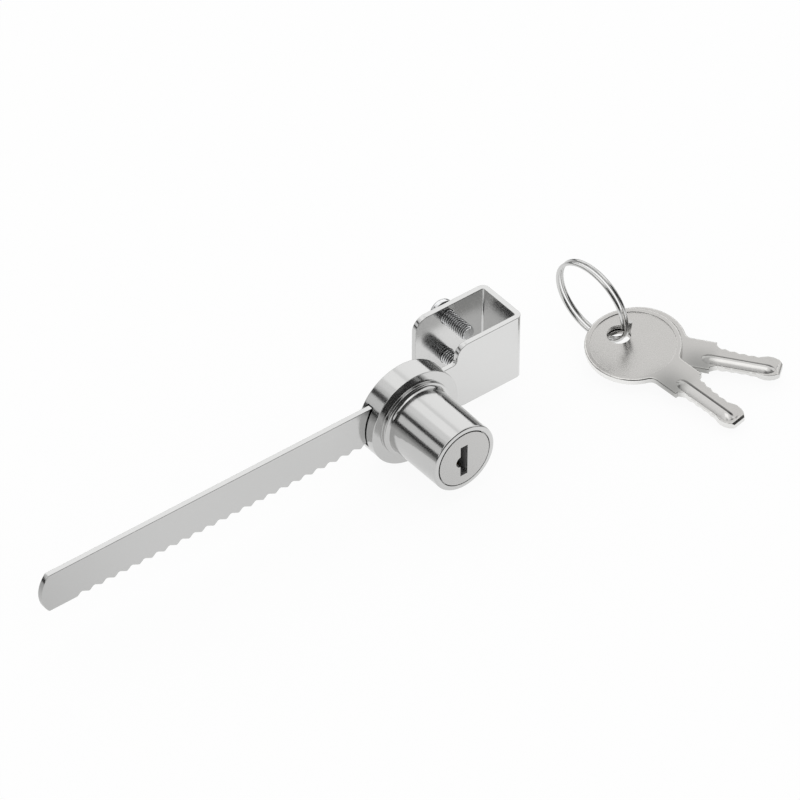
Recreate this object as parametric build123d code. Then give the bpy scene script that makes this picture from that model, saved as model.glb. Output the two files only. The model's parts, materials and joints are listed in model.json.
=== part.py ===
from build123d import *
import os
from math import cos, pi, radians, sin, sqrt

# Sliding glass door lock: a toothed bar with a clamp for the glass edge, a keyed
# lock that slides along the bar, and two keys on a split ring.
# X runs along the bar towards the clamp, Z is up, the lock barrel points to -Y.
# The origin is the middle of the face that the glass edge butts against.

# Strip metal of the bar and its clamp
STRIP = 1.5
BEND_INSIDE = 0.5
BAR_LENGTH = 147.6
BAR_WIDTH = 11.3
END_ROUND = 8.35
END_CORNER = 0.4

# Clamp that grips the glass edge
CLAMP_DEPTH = 15.6
CLAMP_HEIGHT = 19.4
CLAMP_RISE = 0.835
FRONT_WALL_LENGTH = 20.9
FRONT_CORNER = 3.6
FRONT_FILLET = 1.3
CORNER_SHARE = 0.72
FILLET_SHARE = 0.27
BACK_WALL_LENGTH = 22.8
BACK_CORNER = 3.8

# Ratchet teeth on the bar's lower edge
TOOTH_PITCH = 3.75
TOOTH_DEPTH = 1.1
TOOTH_STEEP = 1.45
TOOTH_LAND = 0.4
TOOTH_ROOT = 0.3
TOOTH_COUNT = 30
LAST_TIP_FROM_END = 28.5

# Clamp screws
SCREW_DIAMETER = 4.0
SCREW_LENGTH = 10.0
SCREW_HEAD_DIAMETER = 7.2
SCREW_HEAD_HEIGHT = 2.4
SCREW_STAND_OFF = 0.15
SCREW_SPACING = 12.8
SCREW_FROM_END = 12.7
THREAD_CLEARANCE = 0.05
SHANK_SIDES = 12

# Lock housing, measured outwards from the bar's front face
LOCK_FROM_END = 36.2
LOCK_DROP = 1.45
DISC_RADIUS = 13.3
DISC_FRONT = 2.8
DISC_BACK = 3.2
DISC_LIP = 0.6
COLLAR_RADIUS = 10.45
COLLAR_STEP = 0.9
BARREL_RADIUS = 9.35
BARREL_REACH = 21.95
BARREL_EDGE = 0.4
SLOT_CLEARANCE = 0.3

# Cover behind the bar slot
COVER_RADIUS = 12.0
COVER_THICKNESS = 0.9
COVER_GAP = 0.05
COVER_SCREW_CIRCLE = 9.7
COVER_SCREW_ANGLES = (90.0, -45.0, -135.0)
COVER_SCREW_RADIUS = 1.0
COVER_SCREW_HEAD = 1.9
COVER_SCREW_LENGTH = 3.6

# Key plug
PLUG_PROUD = 0.25
PLUG_HEAD_RADIUS = 7.9
PLUG_HEAD_DEPTH = 2.0
PLUG_RADIUS = 6.2
RUNNING_FIT = 0.05
WEB_THICKNESS = 0.7
TAIL_RADIUS = 3.45
DRIVE_WIDTH = 5.0
DRIVE_FLATS = 4.0

# Cam and its screw
CAM_THICKNESS = 1.2
CAM_GAP = 0.2
CAM_SCREW_CLEARANCE = 0.6
CAM_ROOM_CLEARANCE = 0.6
CAM_RADIUS = 5.0
CAM_BACK_RADIUS = 4.0
BOLT_LIFT = 1.6
CAM_SCREW_RADIUS = 1.0
CAM_SCREW_HEAD_RADIUS = 1.8
CAM_SCREW_HEAD_HEIGHT = 1.0
CAM_SCREW_REACH = 1.6
CAM_STEPS = 12

# Spring bolt below the bar
BOLT_WIDTH = 8.0
BOLT_CLEARANCE = 0.05
BOLT_TOOTH_CLEARANCE = 0.25
BOLT_HEIGHT = 3.5
BOLT_ARM_HEIGHT = 2.5
BOLT_SPRING_SPACE = 2.2
BOLT_SPRING_RADIUS = 1.0
SPRING_WALL = 0.35

# Wafers in the plug
WAFER_COUNT = 5
WAFER_PITCH = 2.6
FIRST_WAFER_DEPTH = 4.2
WAFER_THICKNESS = 0.9
WAFER_WIDTH = 6.8
WAFER_WALL = 0.6
WAFER_TRAVEL = 0.7
WAFER_FIT = 0.05
WAFER_LUG = 1.5
WAFER_LUG_HEIGHT = 1.0
WAFER_SPRING_LENGTH = 2.6
WAFER_SPRING_RADIUS = 0.42
CHANNEL_CLEARANCE = 0.2

# Keys
KEY_THICKNESS = 1.9
BOW_RADIUS = 12.25
BOW_RIM = 1.4
BOW_RECESS = 0.3
KEY_HOLE_DIAMETER = 5.6
KEY_HOLE_OFFSET = 4.94
NECK_WIDTH = 9.6
NECK_FILLET = 2.0
SHOULDER_FROM_BOW = 19.1
BLADE_LENGTH = 17.4
BLADE_WIDTH = 8.0
BLADE_TAPER = 2.4
BLADE_TIP = 4.0
TIP_SHARE = 0.85
KEY_CUTS = (0.55, 0.95, 0.35, 0.85, 0.5)
CUT_FLAT = 0.7
RIDGE_WIDTH = 3.0
RIDGE_HEIGHT = 1.2
RIDGE_NOSE = 0.9
RIDGE_LEAD = 2.0
RIDGE_END_GAP = 1.0
KEY_SIDE_PLAY = 0.125
KEY_EDGE_PLAY = 0.55
KEYWAY_SHIFT = -0.125

# Where the keys lie: the hole of the upper key, its heading and its slopes
KEY_HOLE_PLACE = (29.9, -10.8, -9.4)
KEY_YAW = -83.3
KEY_PITCH = 3.8
KEY_ROLL = 6.1
SECOND_KEY_YAW = 30.4
KEY_STACK_GAP = 0.15

# Split ring
RING_RADIUS = 11.6
RING_WIRE = 0.95
RING_SIDES = 8
RING_GAP = 0.45
RING_TURNS = 2
RING_SLANT = 38.0
RING_SHIFT = 0.2

# Derived places
BAR_FACE_Y = -CLAMP_DEPTH / 2
BAR_BACK_Y = BAR_FACE_Y + STRIP
BACK_WALL_Y = CLAMP_DEPTH / 2
BAR_Z = -CLAMP_RISE
BAR_BOTTOM = BAR_Z - BAR_WIDTH / 2
OUTER_END_X = STRIP
FREE_END_X = OUTER_END_X - BAR_LENGTH
LOCK_X = OUTER_END_X - LOCK_FROM_END
LOCK_Z = BAR_Z - LOCK_DROP
SCREW_X = OUTER_END_X - SCREW_FROM_END
LAST_TIP_X = OUTER_END_X - LAST_TIP_FROM_END

DISC_FRONT_Y = BAR_FACE_Y - DISC_FRONT
DISC_BACK_Y = BAR_FACE_Y + DISC_BACK
COLLAR_Y = DISC_FRONT_Y - COLLAR_STEP
NOSE_Y = BAR_FACE_Y - BARREL_REACH
PLUG_FACE_Y = NOSE_Y - PLUG_PROUD
SLOT_FRONT_Y = BAR_FACE_Y - SLOT_CLEARANCE
COVER_Y = BAR_BACK_Y + SLOT_CLEARANCE + COVER_GAP
KEY_TIP_Y = PLUG_FACE_Y + BLADE_LENGTH
CAM_SCREW_HEAD_Y = SLOT_FRONT_Y - CAM_SCREW_CLEARANCE - CAM_SCREW_HEAD_HEIGHT
CAM_Y = CAM_SCREW_HEAD_Y - CAM_THICKNESS
WEB_BACK_Y = CAM_Y - CAM_GAP
WEB_FRONT_Y = WEB_BACK_Y - WEB_THICKNESS
KEYWAY_CENTRE_Z = LOCK_Z - KEY_EDGE_PLAY
KEYWAY_HALF_HEIGHT = BLADE_WIDTH / 2 + KEY_EDGE_PLAY
KEYWAY_HALF_WIDTH = KEY_THICKNESS / 2 + KEY_SIDE_PLAY
KEYWAY_X = LOCK_X + KEYWAY_SHIFT
BOLT_RATE = BOLT_LIFT / pi
FOLLOWER_Z = LOCK_Z - CAM_RADIUS - BOLT_CLEARANCE
BOLT_ROOT_Z = BAR_BOTTOM - BOLT_TOOTH_CLEARANCE - BOLT_LIFT
BOLT_BOTTOM_Z = BOLT_ROOT_Z - BOLT_HEIGHT
SPRING_SEAT_Z = BOLT_BOTTOM_Z - BOLT_SPRING_SPACE
BOLT_FRONT_Y = SLOT_FRONT_Y + BOLT_CLEARANCE
BOLT_BACK_Y = COVER_Y - 4 * BOLT_CLEARANCE
KEY_PITCH_STEP = KEY_THICKNESS + KEY_STACK_GAP


def box_between(x0, x1, y0, y1, z0, z1):
    """A box given by its two ends along each axis."""
    middle = Location(((x0 + x1) / 2, (y0 + y1) / 2, (z0 + z1) / 2))
    return middle * Box(abs(x1 - x0), abs(y1 - y0), abs(z1 - z0))


def cylinder_along_y(x, z, radius, y0, y1):
    """A cylinder whose axis runs along Y."""
    middle = Location((x, (y0 + y1) / 2, z), (90, 0, 0))
    return middle * Cylinder(radius, abs(y1 - y0))


def shank_along_y(x, z, radius, y0, y1):
    """A hidden screw shank, or its bore, as a twelve-sided rod along Y."""
    place = Location((x, (y0 + y1) / 2, z), (90, 0, 0))
    return place * extrude(RegularPolygon(radius, SHANK_SIDES), abs(y1 - y0) / 2, both=True)


def turned_about_y(x, z, profile):
    """A solid of revolution about Y from (radius, y) points, one per corner."""
    face = make_face(Polyline([(radius, y) for radius, y in profile], close=True))
    return Location((x, 0, z)) * revolve(face, Axis.Y)


def upright_prism(face, y0, y1):
    """Extrude a face drawn in X and Z from y0 to y1."""
    plane = Plane(origin=(0, y1, 0), x_dir=(1, 0, 0), z_dir=(0, -1, 0))
    return extrude(plane * face, abs(y1 - y0))


# Bar and clamp

def tooth_gap(tip_x, drop):
    """One gap between two teeth, drawn in X and Z; drop lowers it for the bolt."""
    base = BAR_BOTTOM - drop
    half_land = TOOTH_LAND / 2
    corners = [
        (tip_x + half_land, base),
        (tip_x + TOOTH_STEEP, base + TOOTH_DEPTH),
        (tip_x + TOOTH_PITCH - half_land, base),
    ]
    gap = make_face(Polyline(corners, close=True))
    return chamfer(gap.vertices().sort_by(Axis.Y)[-1], TOOTH_ROOT)


def bent_strip():
    """The strip seen from above, bent into the clamp, as tall as the clamp."""
    outer = BEND_INSIDE + STRIP
    long_leg = Pos((FREE_END_X + OUTER_END_X) / 2, 0) * Rectangle(BAR_LENGTH, CLAMP_DEPTH)
    ends = long_leg.vertices().group_by(Axis.X)[-1]
    outside = fillet(ends, outer)
    inside = Pos(-BAR_LENGTH / 2, 0) * Rectangle(BAR_LENGTH, CLAMP_DEPTH - 2 * STRIP)
    inside = fillet(inside.vertices().group_by(Axis.X)[-1], BEND_INSIDE)
    return Location((0, 0, -CLAMP_HEIGHT / 2)) * extrude(outside - inside, CLAMP_HEIGHT)


def free_end_face():
    """The bar's face with its bluntly rounded free end."""
    bar = Pos((FREE_END_X + OUTER_END_X) / 2, BAR_Z) * Rectangle(BAR_LENGTH, BAR_WIDTH)
    round_end = Pos(FREE_END_X + END_ROUND, BAR_Z) * Circle(END_ROUND)
    square_part = bar - Pos(FREE_END_X, BAR_Z) * Rectangle(2 * END_ROUND, BAR_WIDTH)
    shaped = square_part + (bar & round_end)
    corners = [v for v in shaped.vertices() if END_CORNER < v.X - FREE_END_X < END_ROUND - END_CORNER]
    return fillet(corners, END_CORNER)


def wall_step(side):
    """How far the front wall stands past the bar, above or below it."""
    return abs(side * CLAMP_HEIGHT / 2 - BAR_Z) - BAR_WIDTH / 2


def wall_half(side):
    """Upper or lower half of the front wall, its free corner rounded."""
    middle = (OUTER_END_X - FRONT_WALL_LENGTH / 2, side * CLAMP_HEIGHT / 4)
    half = Pos(*middle) * Rectangle(FRONT_WALL_LENGTH, CLAMP_HEIGHT / 2)
    free_corners = half.vertices().group_by(Axis.X)[0].sort_by(Axis.Y)
    corner = free_corners[-1] if side > 0 else free_corners[0]
    return fillet(corner, min(FRONT_CORNER, CORNER_SHARE * wall_step(side)))


def front_wall_face():
    """Outline of the bar and the clamp's front wall in X and Z, with the teeth."""
    outline = free_end_face() + wall_half(1) + wall_half(-1)
    for side in (1, -1):
        foot = (OUTER_END_X - FRONT_WALL_LENGTH, BAR_Z + side * BAR_WIDTH / 2)
        outline += corner_fill(foot, min(FRONT_FILLET, FILLET_SHARE * wall_step(side)), side)
    for index in range(1, TOOTH_COUNT):
        outline -= tooth_gap(LAST_TIP_X - index * TOOTH_PITCH, 0)
    return outline


def corner_fill(foot, radius, side):
    """A hollow rounding to the left of an inner corner, above or below the bar."""
    x, z = foot
    overlap = radius / 2
    block = Pos(x + (overlap - radius) / 2, z + side * (radius - overlap) / 2) * Rectangle(
        radius + overlap, radius + overlap
    )
    return block - Pos(x - radius, z + side * radius) * Circle(radius)


def back_wall_face():
    """Outline of the clamp's back wall in X and Z."""
    wall = Pos(OUTER_END_X - BACK_WALL_LENGTH / 2, 0) * Rectangle(BACK_WALL_LENGTH, CLAMP_HEIGHT)
    return fillet(wall.vertices().group_by(Axis.X)[0], BACK_CORNER)


def screw_heights():
    """Heights of the two clamp screws."""
    return (SCREW_SPACING / 2, -SCREW_SPACING / 2)


def ratchet_bar():
    """The toothed bar and its clamp, one bent strip."""
    strip = bent_strip()
    front = upright_prism(front_wall_face(), -CLAMP_DEPTH, 0)
    back = upright_prism(back_wall_face(), 0, CLAMP_DEPTH)
    bar = (strip & front) + (strip & back)
    bore = SCREW_DIAMETER / 2 + THREAD_CLEARANCE
    for height in screw_heights():
        bar -= cylinder_along_y(SCREW_X, height, bore, 0, BACK_WALL_Y + STRIP)
    return bar


def clamp_screw(height):
    """A pan-head screw that presses on the glass, head behind the back wall."""
    head_y = BACK_WALL_Y + SCREW_STAND_OFF
    radius = SCREW_DIAMETER / 2
    tip_y = head_y - SCREW_LENGTH
    profile = [
        (0, tip_y),
        (radius, tip_y),
        (radius, head_y),
        (SCREW_HEAD_DIAMETER / 2, head_y),
        (SCREW_HEAD_DIAMETER / 2, head_y + SCREW_HEAD_HEIGHT),
        (0, head_y + SCREW_HEAD_HEIGHT),
    ]
    screw = turned_about_y(SCREW_X, height, profile)
    rim = screw.edges().filter_by(GeomType.CIRCLE).sort_by(Axis.Y)[-1]
    return chamfer(rim, SCREW_HEAD_HEIGHT / 2)


# Lock housing

def housing_blank():
    """Disc, collar and barrel turned in one piece."""
    profile = [
        (0, DISC_BACK_Y),
        (DISC_RADIUS, DISC_BACK_Y),
        (DISC_RADIUS, DISC_FRONT_Y + DISC_LIP),
        (DISC_RADIUS - DISC_LIP, DISC_FRONT_Y),
        (COLLAR_RADIUS, DISC_FRONT_Y),
        (COLLAR_RADIUS, COLLAR_Y + BARREL_EDGE),
        (COLLAR_RADIUS - BARREL_EDGE, COLLAR_Y),
        (BARREL_RADIUS, COLLAR_Y),
        (BARREL_RADIUS, NOSE_Y + BARREL_EDGE),
        (BARREL_RADIUS - BARREL_EDGE, NOSE_Y),
        (0, NOSE_Y),
    ]
    return turned_about_y(LOCK_X, LOCK_Z, profile)


def plug_bore():
    """The stepped bore that the plug turns in."""
    head_radius = PLUG_HEAD_RADIUS + RUNNING_FIT
    head = cylinder_along_y(LOCK_X, LOCK_Z, head_radius, NOSE_Y - 1, plug_shoulder_y() + RUNNING_FIT)
    body = cylinder_along_y(LOCK_X, LOCK_Z, PLUG_RADIUS + RUNNING_FIT, NOSE_Y, WEB_FRONT_Y)
    tail = cylinder_along_y(LOCK_X, LOCK_Z, TAIL_RADIUS + RUNNING_FIT, WEB_FRONT_Y - 1, WEB_BACK_Y + 1)
    return head + body + tail


def plug_shoulder_y():
    """Back face of the plug's head."""
    return PLUG_FACE_Y + PLUG_HEAD_DEPTH


def wafer_channels():
    """The two channels, above and below the plug, that sprung wafers enter."""
    half_width = WAFER_WIDTH / 2 + CHANNEL_CLEARANCE
    reach = PLUG_RADIUS + WAFER_TRAVEL + CHANNEL_CLEARANCE
    start = wafer_y(0) - WAFER_THICKNESS
    end = wafer_y(WAFER_COUNT - 1) + WAFER_THICKNESS
    left, right = LOCK_X - half_width, LOCK_X + half_width
    return box_between(left, right, start, end, LOCK_Z - reach, LOCK_Z + reach)


def bar_slot():
    """The slot through the housing that the bar slides in."""
    half_height = BAR_WIDTH / 2 + SLOT_CLEARANCE
    reach = DISC_RADIUS + 1
    return box_between(
        LOCK_X - reach, LOCK_X + reach, SLOT_FRONT_Y, COVER_Y, BAR_Z - half_height, BAR_Z + half_height
    )


def bolt_channel():
    """Space for the cam, the bolt and the spring below it."""
    half_width = BOLT_WIDTH / 2 + BOLT_CLEARANCE
    cam_room = CAM_RADIUS + CAM_ROOM_CLEARANCE
    room = cylinder_along_y(LOCK_X, LOCK_Z, cam_room, WEB_BACK_Y, COVER_Y)
    arm_floor = FOLLOWER_Z - BOLT_ARM_HEIGHT - CAM_GAP
    arm = box_between(LOCK_X - half_width, LOCK_X + half_width, WEB_BACK_Y, COVER_Y, arm_floor, LOCK_Z)
    well = box_between(
        LOCK_X - half_width, LOCK_X + half_width, SLOT_FRONT_Y, COVER_Y, SPRING_SEAT_Z, LOCK_Z
    )
    return room + arm + well


def cover_screw_places():
    """Centres of the cover screws in X and Z."""
    places = []
    for angle in COVER_SCREW_ANGLES:
        turn = radians(angle)
        places.append((LOCK_X + COVER_SCREW_CIRCLE * cos(turn), LOCK_Z + COVER_SCREW_CIRCLE * sin(turn)))
    return places


def lock_housing():
    """The housing with its bore, channels, slot and cover seat."""
    housing = housing_blank() - plug_bore() - wafer_channels() - bar_slot() - bolt_channel()
    housing -= cylinder_along_y(LOCK_X, LOCK_Z, COVER_RADIUS + COVER_GAP, COVER_Y, DISC_BACK_Y + 1)
    screw_end = COVER_Y + COVER_THICKNESS - COVER_SCREW_LENGTH
    bore = COVER_SCREW_RADIUS + THREAD_CLEARANCE
    for x, z in cover_screw_places():
        housing -= shank_along_y(x, z, bore, screw_end - COVER_GAP, COVER_Y + 1)
    return housing


def countersink(x, z, gap):
    """The cone of a countersunk screw, or its seat where gap is above zero."""
    top = COVER_Y + COVER_THICKNESS
    profile = [
        (0, COVER_Y),
        (COVER_SCREW_RADIUS + gap, COVER_Y),
        (COVER_SCREW_HEAD + gap, top),
        (0, top),
    ]
    return turned_about_y(x, z, profile)


def cover_screw(x, z):
    """One countersunk screw of the cover."""
    top = COVER_Y + COVER_THICKNESS
    shank = shank_along_y(x, z, COVER_SCREW_RADIUS, top - COVER_SCREW_LENGTH, top - COVER_THICKNESS / 2)
    return countersink(x, z, 0) + shank


def back_cover():
    """The round plate that closes the slot, the bolt and the spring."""
    cover = cylinder_along_y(LOCK_X, LOCK_Z, COVER_RADIUS, COVER_Y, COVER_Y + COVER_THICKNESS)
    for x, z in cover_screw_places():
        cover -= countersink(x, z, THREAD_CLEARANCE)
    return cover


def cover_screws():
    """The countersunk screws of the cover."""
    return [cover_screw(x, z) for x, z in cover_screw_places()]


# Plug and key profile

def keyway_side():
    """Side of the keyway in Y and Z, pointed like the key's tip."""
    tip_half = BLADE_TIP / 2 + KEY_EDGE_PLAY
    bottom = KEYWAY_CENTRE_Z - KEYWAY_HALF_HEIGHT
    top = KEYWAY_CENTRE_Z + KEYWAY_HALF_HEIGHT
    end = KEY_TIP_Y + RUNNING_FIT
    corners = [
        (PLUG_FACE_Y - 1, bottom),
        (end - BLADE_TAPER, bottom),
        (end, KEYWAY_CENTRE_Z - tip_half),
        (end, KEYWAY_CENTRE_Z + tip_half),
        (end - BLADE_TAPER, top),
        (PLUG_FACE_Y - 1, top),
    ]
    return make_face(Polyline(corners, close=True))


def keyway():
    """The keyway: a flat slot with a half-round side groove for the key's ridge."""
    side = Plane(origin=(KEYWAY_X - KEYWAY_HALF_WIDTH, 0, 0), x_dir=(0, 1, 0), z_dir=(1, 0, 0))
    slot = extrude(side * keyway_side(), 2 * KEYWAY_HALF_WIDTH)
    groove_end = KEY_TIP_Y - RIDGE_END_GAP + RUNNING_FIT
    groove_radius = RIDGE_WIDTH / 2 + KEY_SIDE_PLAY
    groove_x = KEYWAY_X - KEYWAY_HALF_WIDTH + RIDGE_WIDTH / 2 - RIDGE_HEIGHT
    groove = cylinder_along_y(groove_x, KEYWAY_CENTRE_Z, groove_radius, PLUG_FACE_Y - 1, groove_end)
    return slot + groove


def wafer_y(index):
    """Middle of one wafer along the plug."""
    return PLUG_FACE_Y + FIRST_WAFER_DEPTH + index * WAFER_PITCH


def wafer_side(index):
    """+1 for a wafer sprung upwards, -1 for one sprung downwards."""
    return 1 if index % 2 == 0 else -1


def wafer_slot(index):
    """Slot of one wafer across the plug, with the pocket of its lug and spring."""
    half_width = WAFER_WIDTH / 2 + WAFER_FIT
    half_thickness = WAFER_THICKNESS / 2 + WAFER_FIT
    y = wafer_y(index)
    reach = PLUG_RADIUS + 1
    slot = box_between(
        LOCK_X - half_width, LOCK_X + half_width, y - half_thickness, y + half_thickness,
        LOCK_Z - reach, LOCK_Z + reach,
    )
    side = wafer_side(index)
    lug_half = WAFER_LUG_HEIGHT / 2
    floor = LOCK_Z - side * (lug_half + WAFER_SPRING_LENGTH)
    ceiling = LOCK_Z + side * (lug_half + WAFER_TRAVEL + WAFER_FIT)
    lug_end = LOCK_X + half_width + WAFER_LUG
    pocket = box_between(
        LOCK_X + half_width - 1, lug_end, y - half_thickness, y + half_thickness, floor, ceiling
    )
    return slot + pocket


def wafer(index):
    """A flat wafer with a window for the key and a lug for its spring."""
    y = wafer_y(index)
    half_thickness = WAFER_THICKNESS / 2
    plate = Pos(LOCK_X, LOCK_Z) * (
        Rectangle(WAFER_WIDTH, 2 * PLUG_RADIUS) & Circle(PLUG_RADIUS - WAFER_FIT)
    )
    lug_x = LOCK_X + WAFER_WIDTH / 2 + WAFER_LUG / 2
    plate += Pos(lug_x - WAFER_LUG / 4, LOCK_Z) * Rectangle(WAFER_LUG * 1.5, WAFER_LUG_HEIGHT)
    left = LOCK_X - WAFER_WIDTH / 2 + WAFER_WALL
    right = KEYWAY_X + KEYWAY_HALF_WIDTH + KEY_SIDE_PLAY
    middle = KEYWAY_CENTRE_Z - wafer_side(index) * WAFER_TRAVEL / 2
    window = Pos((left + right) / 2, middle) * Rectangle(right - left, BLADE_WIDTH + WAFER_TRAVEL / 2)
    return upright_prism(plate - window, y - half_thickness, y + half_thickness)


def wafer_spring(index):
    """The little spring under a wafer's lug, as a plain rod of its outer size."""
    side = wafer_side(index)
    lug_edge = LOCK_Z - side * WAFER_LUG_HEIGHT / 2
    middle = lug_edge - side * WAFER_SPRING_LENGTH / 2
    x = LOCK_X + WAFER_WIDTH / 2 + WAFER_LUG / 2
    rod = extrude(RegularPolygon(WAFER_SPRING_RADIUS, 6), WAFER_SPRING_LENGTH / 2, both=True)
    return Location((x, wafer_y(index), middle)) * rod


def drive_block():
    """The flatted end of the plug that the cam sits on."""
    round_part = cylinder_along_y(LOCK_X, LOCK_Z, DRIVE_WIDTH / 2, CAM_Y - CAM_GAP, CAM_SCREW_HEAD_Y)
    reach = DRIVE_WIDTH
    flats = box_between(
        LOCK_X - reach, LOCK_X + reach, CAM_Y - CAM_GAP, CAM_SCREW_HEAD_Y,
        LOCK_Z - DRIVE_FLATS / 2, LOCK_Z + DRIVE_FLATS / 2,
    )
    return round_part & flats


def lock_plug():
    """The plug that the key turns: head, body, tail and flatted drive."""
    head = cylinder_along_y(LOCK_X, LOCK_Z, PLUG_HEAD_RADIUS, PLUG_FACE_Y, plug_shoulder_y())
    body = cylinder_along_y(LOCK_X, LOCK_Z, PLUG_RADIUS, plug_shoulder_y() - 1, WEB_FRONT_Y - RUNNING_FIT)
    tail = cylinder_along_y(LOCK_X, LOCK_Z, TAIL_RADIUS, WEB_FRONT_Y - 1, CAM_Y)
    plug = head + body + tail + drive_block()
    plug -= keyway()
    for index in range(WAFER_COUNT):
        plug -= wafer_slot(index)
    screw_end = CAM_SCREW_HEAD_Y - CAM_SCREW_REACH - RUNNING_FIT
    bore = CAM_SCREW_RADIUS + THREAD_CLEARANCE
    return plug - shank_along_y(LOCK_X, LOCK_Z, bore, screw_end, CAM_SCREW_HEAD_Y + 1)


# Cam, bolt and spring

def cam_point(angle):
    """Point of the cam where its flat follower touches after a turn of angle."""
    support = CAM_RADIUS - BOLT_RATE * angle
    along = (sin(angle), -cos(angle))
    across = (cos(angle), sin(angle))
    x = support * along[0] - BOLT_RATE * across[0]
    z = support * along[1] - BOLT_RATE * across[1]
    return (LOCK_X + x, LOCK_Z + z)


def drive_cam():
    """The cam: it lets the bolt rise evenly over half a turn of the key."""
    working = Spline([cam_point(pi * step / CAM_STEPS) for step in range(CAM_STEPS + 1)])
    back_middle = (LOCK_X - CAM_BACK_RADIUS, LOCK_Z)
    closing = ThreePointArc(cam_point(pi), back_middle, cam_point(0))
    cam = upright_prism(make_face([working, closing]), CAM_Y, CAM_SCREW_HEAD_Y)
    hole = Pos(LOCK_X, LOCK_Z) * (
        Circle(DRIVE_WIDTH / 2 + RUNNING_FIT) & Rectangle(2 * DRIVE_WIDTH, DRIVE_FLATS + 2 * RUNNING_FIT)
    )
    return cam - upright_prism(hole, CAM_Y - 1, CAM_SCREW_HEAD_Y + 1)


def cam_screw():
    """The screw that holds the cam on the plug."""
    head_top = CAM_SCREW_HEAD_Y + CAM_SCREW_HEAD_HEIGHT
    head = cylinder_along_y(LOCK_X, LOCK_Z, CAM_SCREW_HEAD_RADIUS, CAM_SCREW_HEAD_Y, head_top)
    tip = CAM_SCREW_HEAD_Y - CAM_SCREW_REACH
    return head + shank_along_y(LOCK_X, LOCK_Z, CAM_SCREW_RADIUS, tip, head_top)


def gaps_over_bolt():
    """Tips of the bar's teeth whose gaps lie over the bolt at rest."""
    tips = [LAST_TIP_X - step * TOOTH_PITCH for step in range(TOOTH_COUNT)]
    low = LOCK_X - BOLT_WIDTH / 2
    high = LOCK_X + BOLT_WIDTH / 2
    return [tip for tip in tips if low < tip + TOOTH_LAND / 2 and tip + TOOTH_PITCH - TOOTH_LAND / 2 < high]


def lock_bolt():
    """The bolt: a toothed block under the bar and an arm that the cam holds down."""
    half_width = BOLT_WIDTH / 2
    block = box_between(
        LOCK_X - half_width, LOCK_X + half_width, BOLT_FRONT_Y, BOLT_BACK_Y, BOLT_BOTTOM_Z, BOLT_ROOT_Z
    )
    arm = box_between(
        LOCK_X - half_width, LOCK_X + half_width, CAM_Y + CAM_GAP / 2, BOLT_FRONT_Y,
        FOLLOWER_Z - BOLT_ARM_HEIGHT, FOLLOWER_Z,
    )
    bolt = block + arm
    for tip in gaps_over_bolt():
        tooth = tooth_gap(tip, BOLT_TOOTH_CLEARANCE + BOLT_LIFT)
        bolt += upright_prism(tooth, BOLT_FRONT_Y, BOLT_BACK_Y)
    return bolt


def bolt_spring():
    """The spring that lifts the bolt, as a plain sleeve."""
    ring = RegularPolygon(BOLT_SPRING_RADIUS, 12) - RegularPolygon(BOLT_SPRING_RADIUS - SPRING_WALL, 12)
    sleeve = extrude(ring, BOLT_SPRING_SPACE / 2, both=True)
    middle_z = SPRING_SEAT_Z + BOLT_SPRING_SPACE / 2
    return Location((LOCK_X, (BOLT_FRONT_Y + BOLT_BACK_Y) / 2, middle_z)) * sleeve


# Keys and ring

def key_frame(yaw_offset, drop):
    """Place of a key: its hole at the origin, blade along X, upper face at Z 0."""
    first = Location(KEY_HOLE_PLACE) * Rotation(0, 0, KEY_YAW)
    level = first * Rotation(0, KEY_PITCH, 0) * Rotation(KEY_ROLL, 0, 0)
    return level * Location((0, 0, -drop)) * Rotation(0, 0, yaw_offset)


def blade_edge(side):
    """One cut edge of the blade, from the shoulder to the tip: flat-bottomed cuts."""
    start = KEY_HOLE_OFFSET + SHOULDER_FROM_BOW
    half = BLADE_WIDTH / 2
    points = [(start, side * half)]
    for index, cut in enumerate(KEY_CUTS):
        at = start + FIRST_WAFER_DEPTH + index * WAFER_PITCH
        points.append((at - WAFER_PITCH / 2, side * half))
        points.append((at - CUT_FLAT / 2, side * (half - cut)))
        points.append((at + CUT_FLAT / 2, side * (half - cut)))
    points.append((start + BLADE_LENGTH - BLADE_TAPER / 2, side * half * TIP_SHARE))
    points.append((start + BLADE_LENGTH, side * BLADE_TIP / 2))
    return points


def blade_face():
    """The flat of the blade between its two cut edges."""
    return make_face(Polyline(blade_edge(1) + blade_edge(-1)[::-1], close=True))


def key_ridge():
    """The half-round rib along the blade's upper face."""
    start = KEY_HOLE_OFFSET + SHOULDER_FROM_BOW - RIDGE_LEAD
    length = BLADE_LENGTH + RIDGE_LEAD - RIDGE_END_GAP
    rod = Cylinder(RIDGE_WIDTH / 2, length)
    rod = chamfer(rod.edges().filter_by(GeomType.CIRCLE), RIDGE_NOSE)
    rod = Location((start + length / 2, 0, RIDGE_HEIGHT - RIDGE_WIDTH / 2), (0, 90, 0)) * rod
    floor = -KEY_THICKNESS / 2
    return rod & box_between(start, start + length, -RIDGE_WIDTH, RIDGE_WIDTH, floor, RIDGE_HEIGHT)


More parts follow.
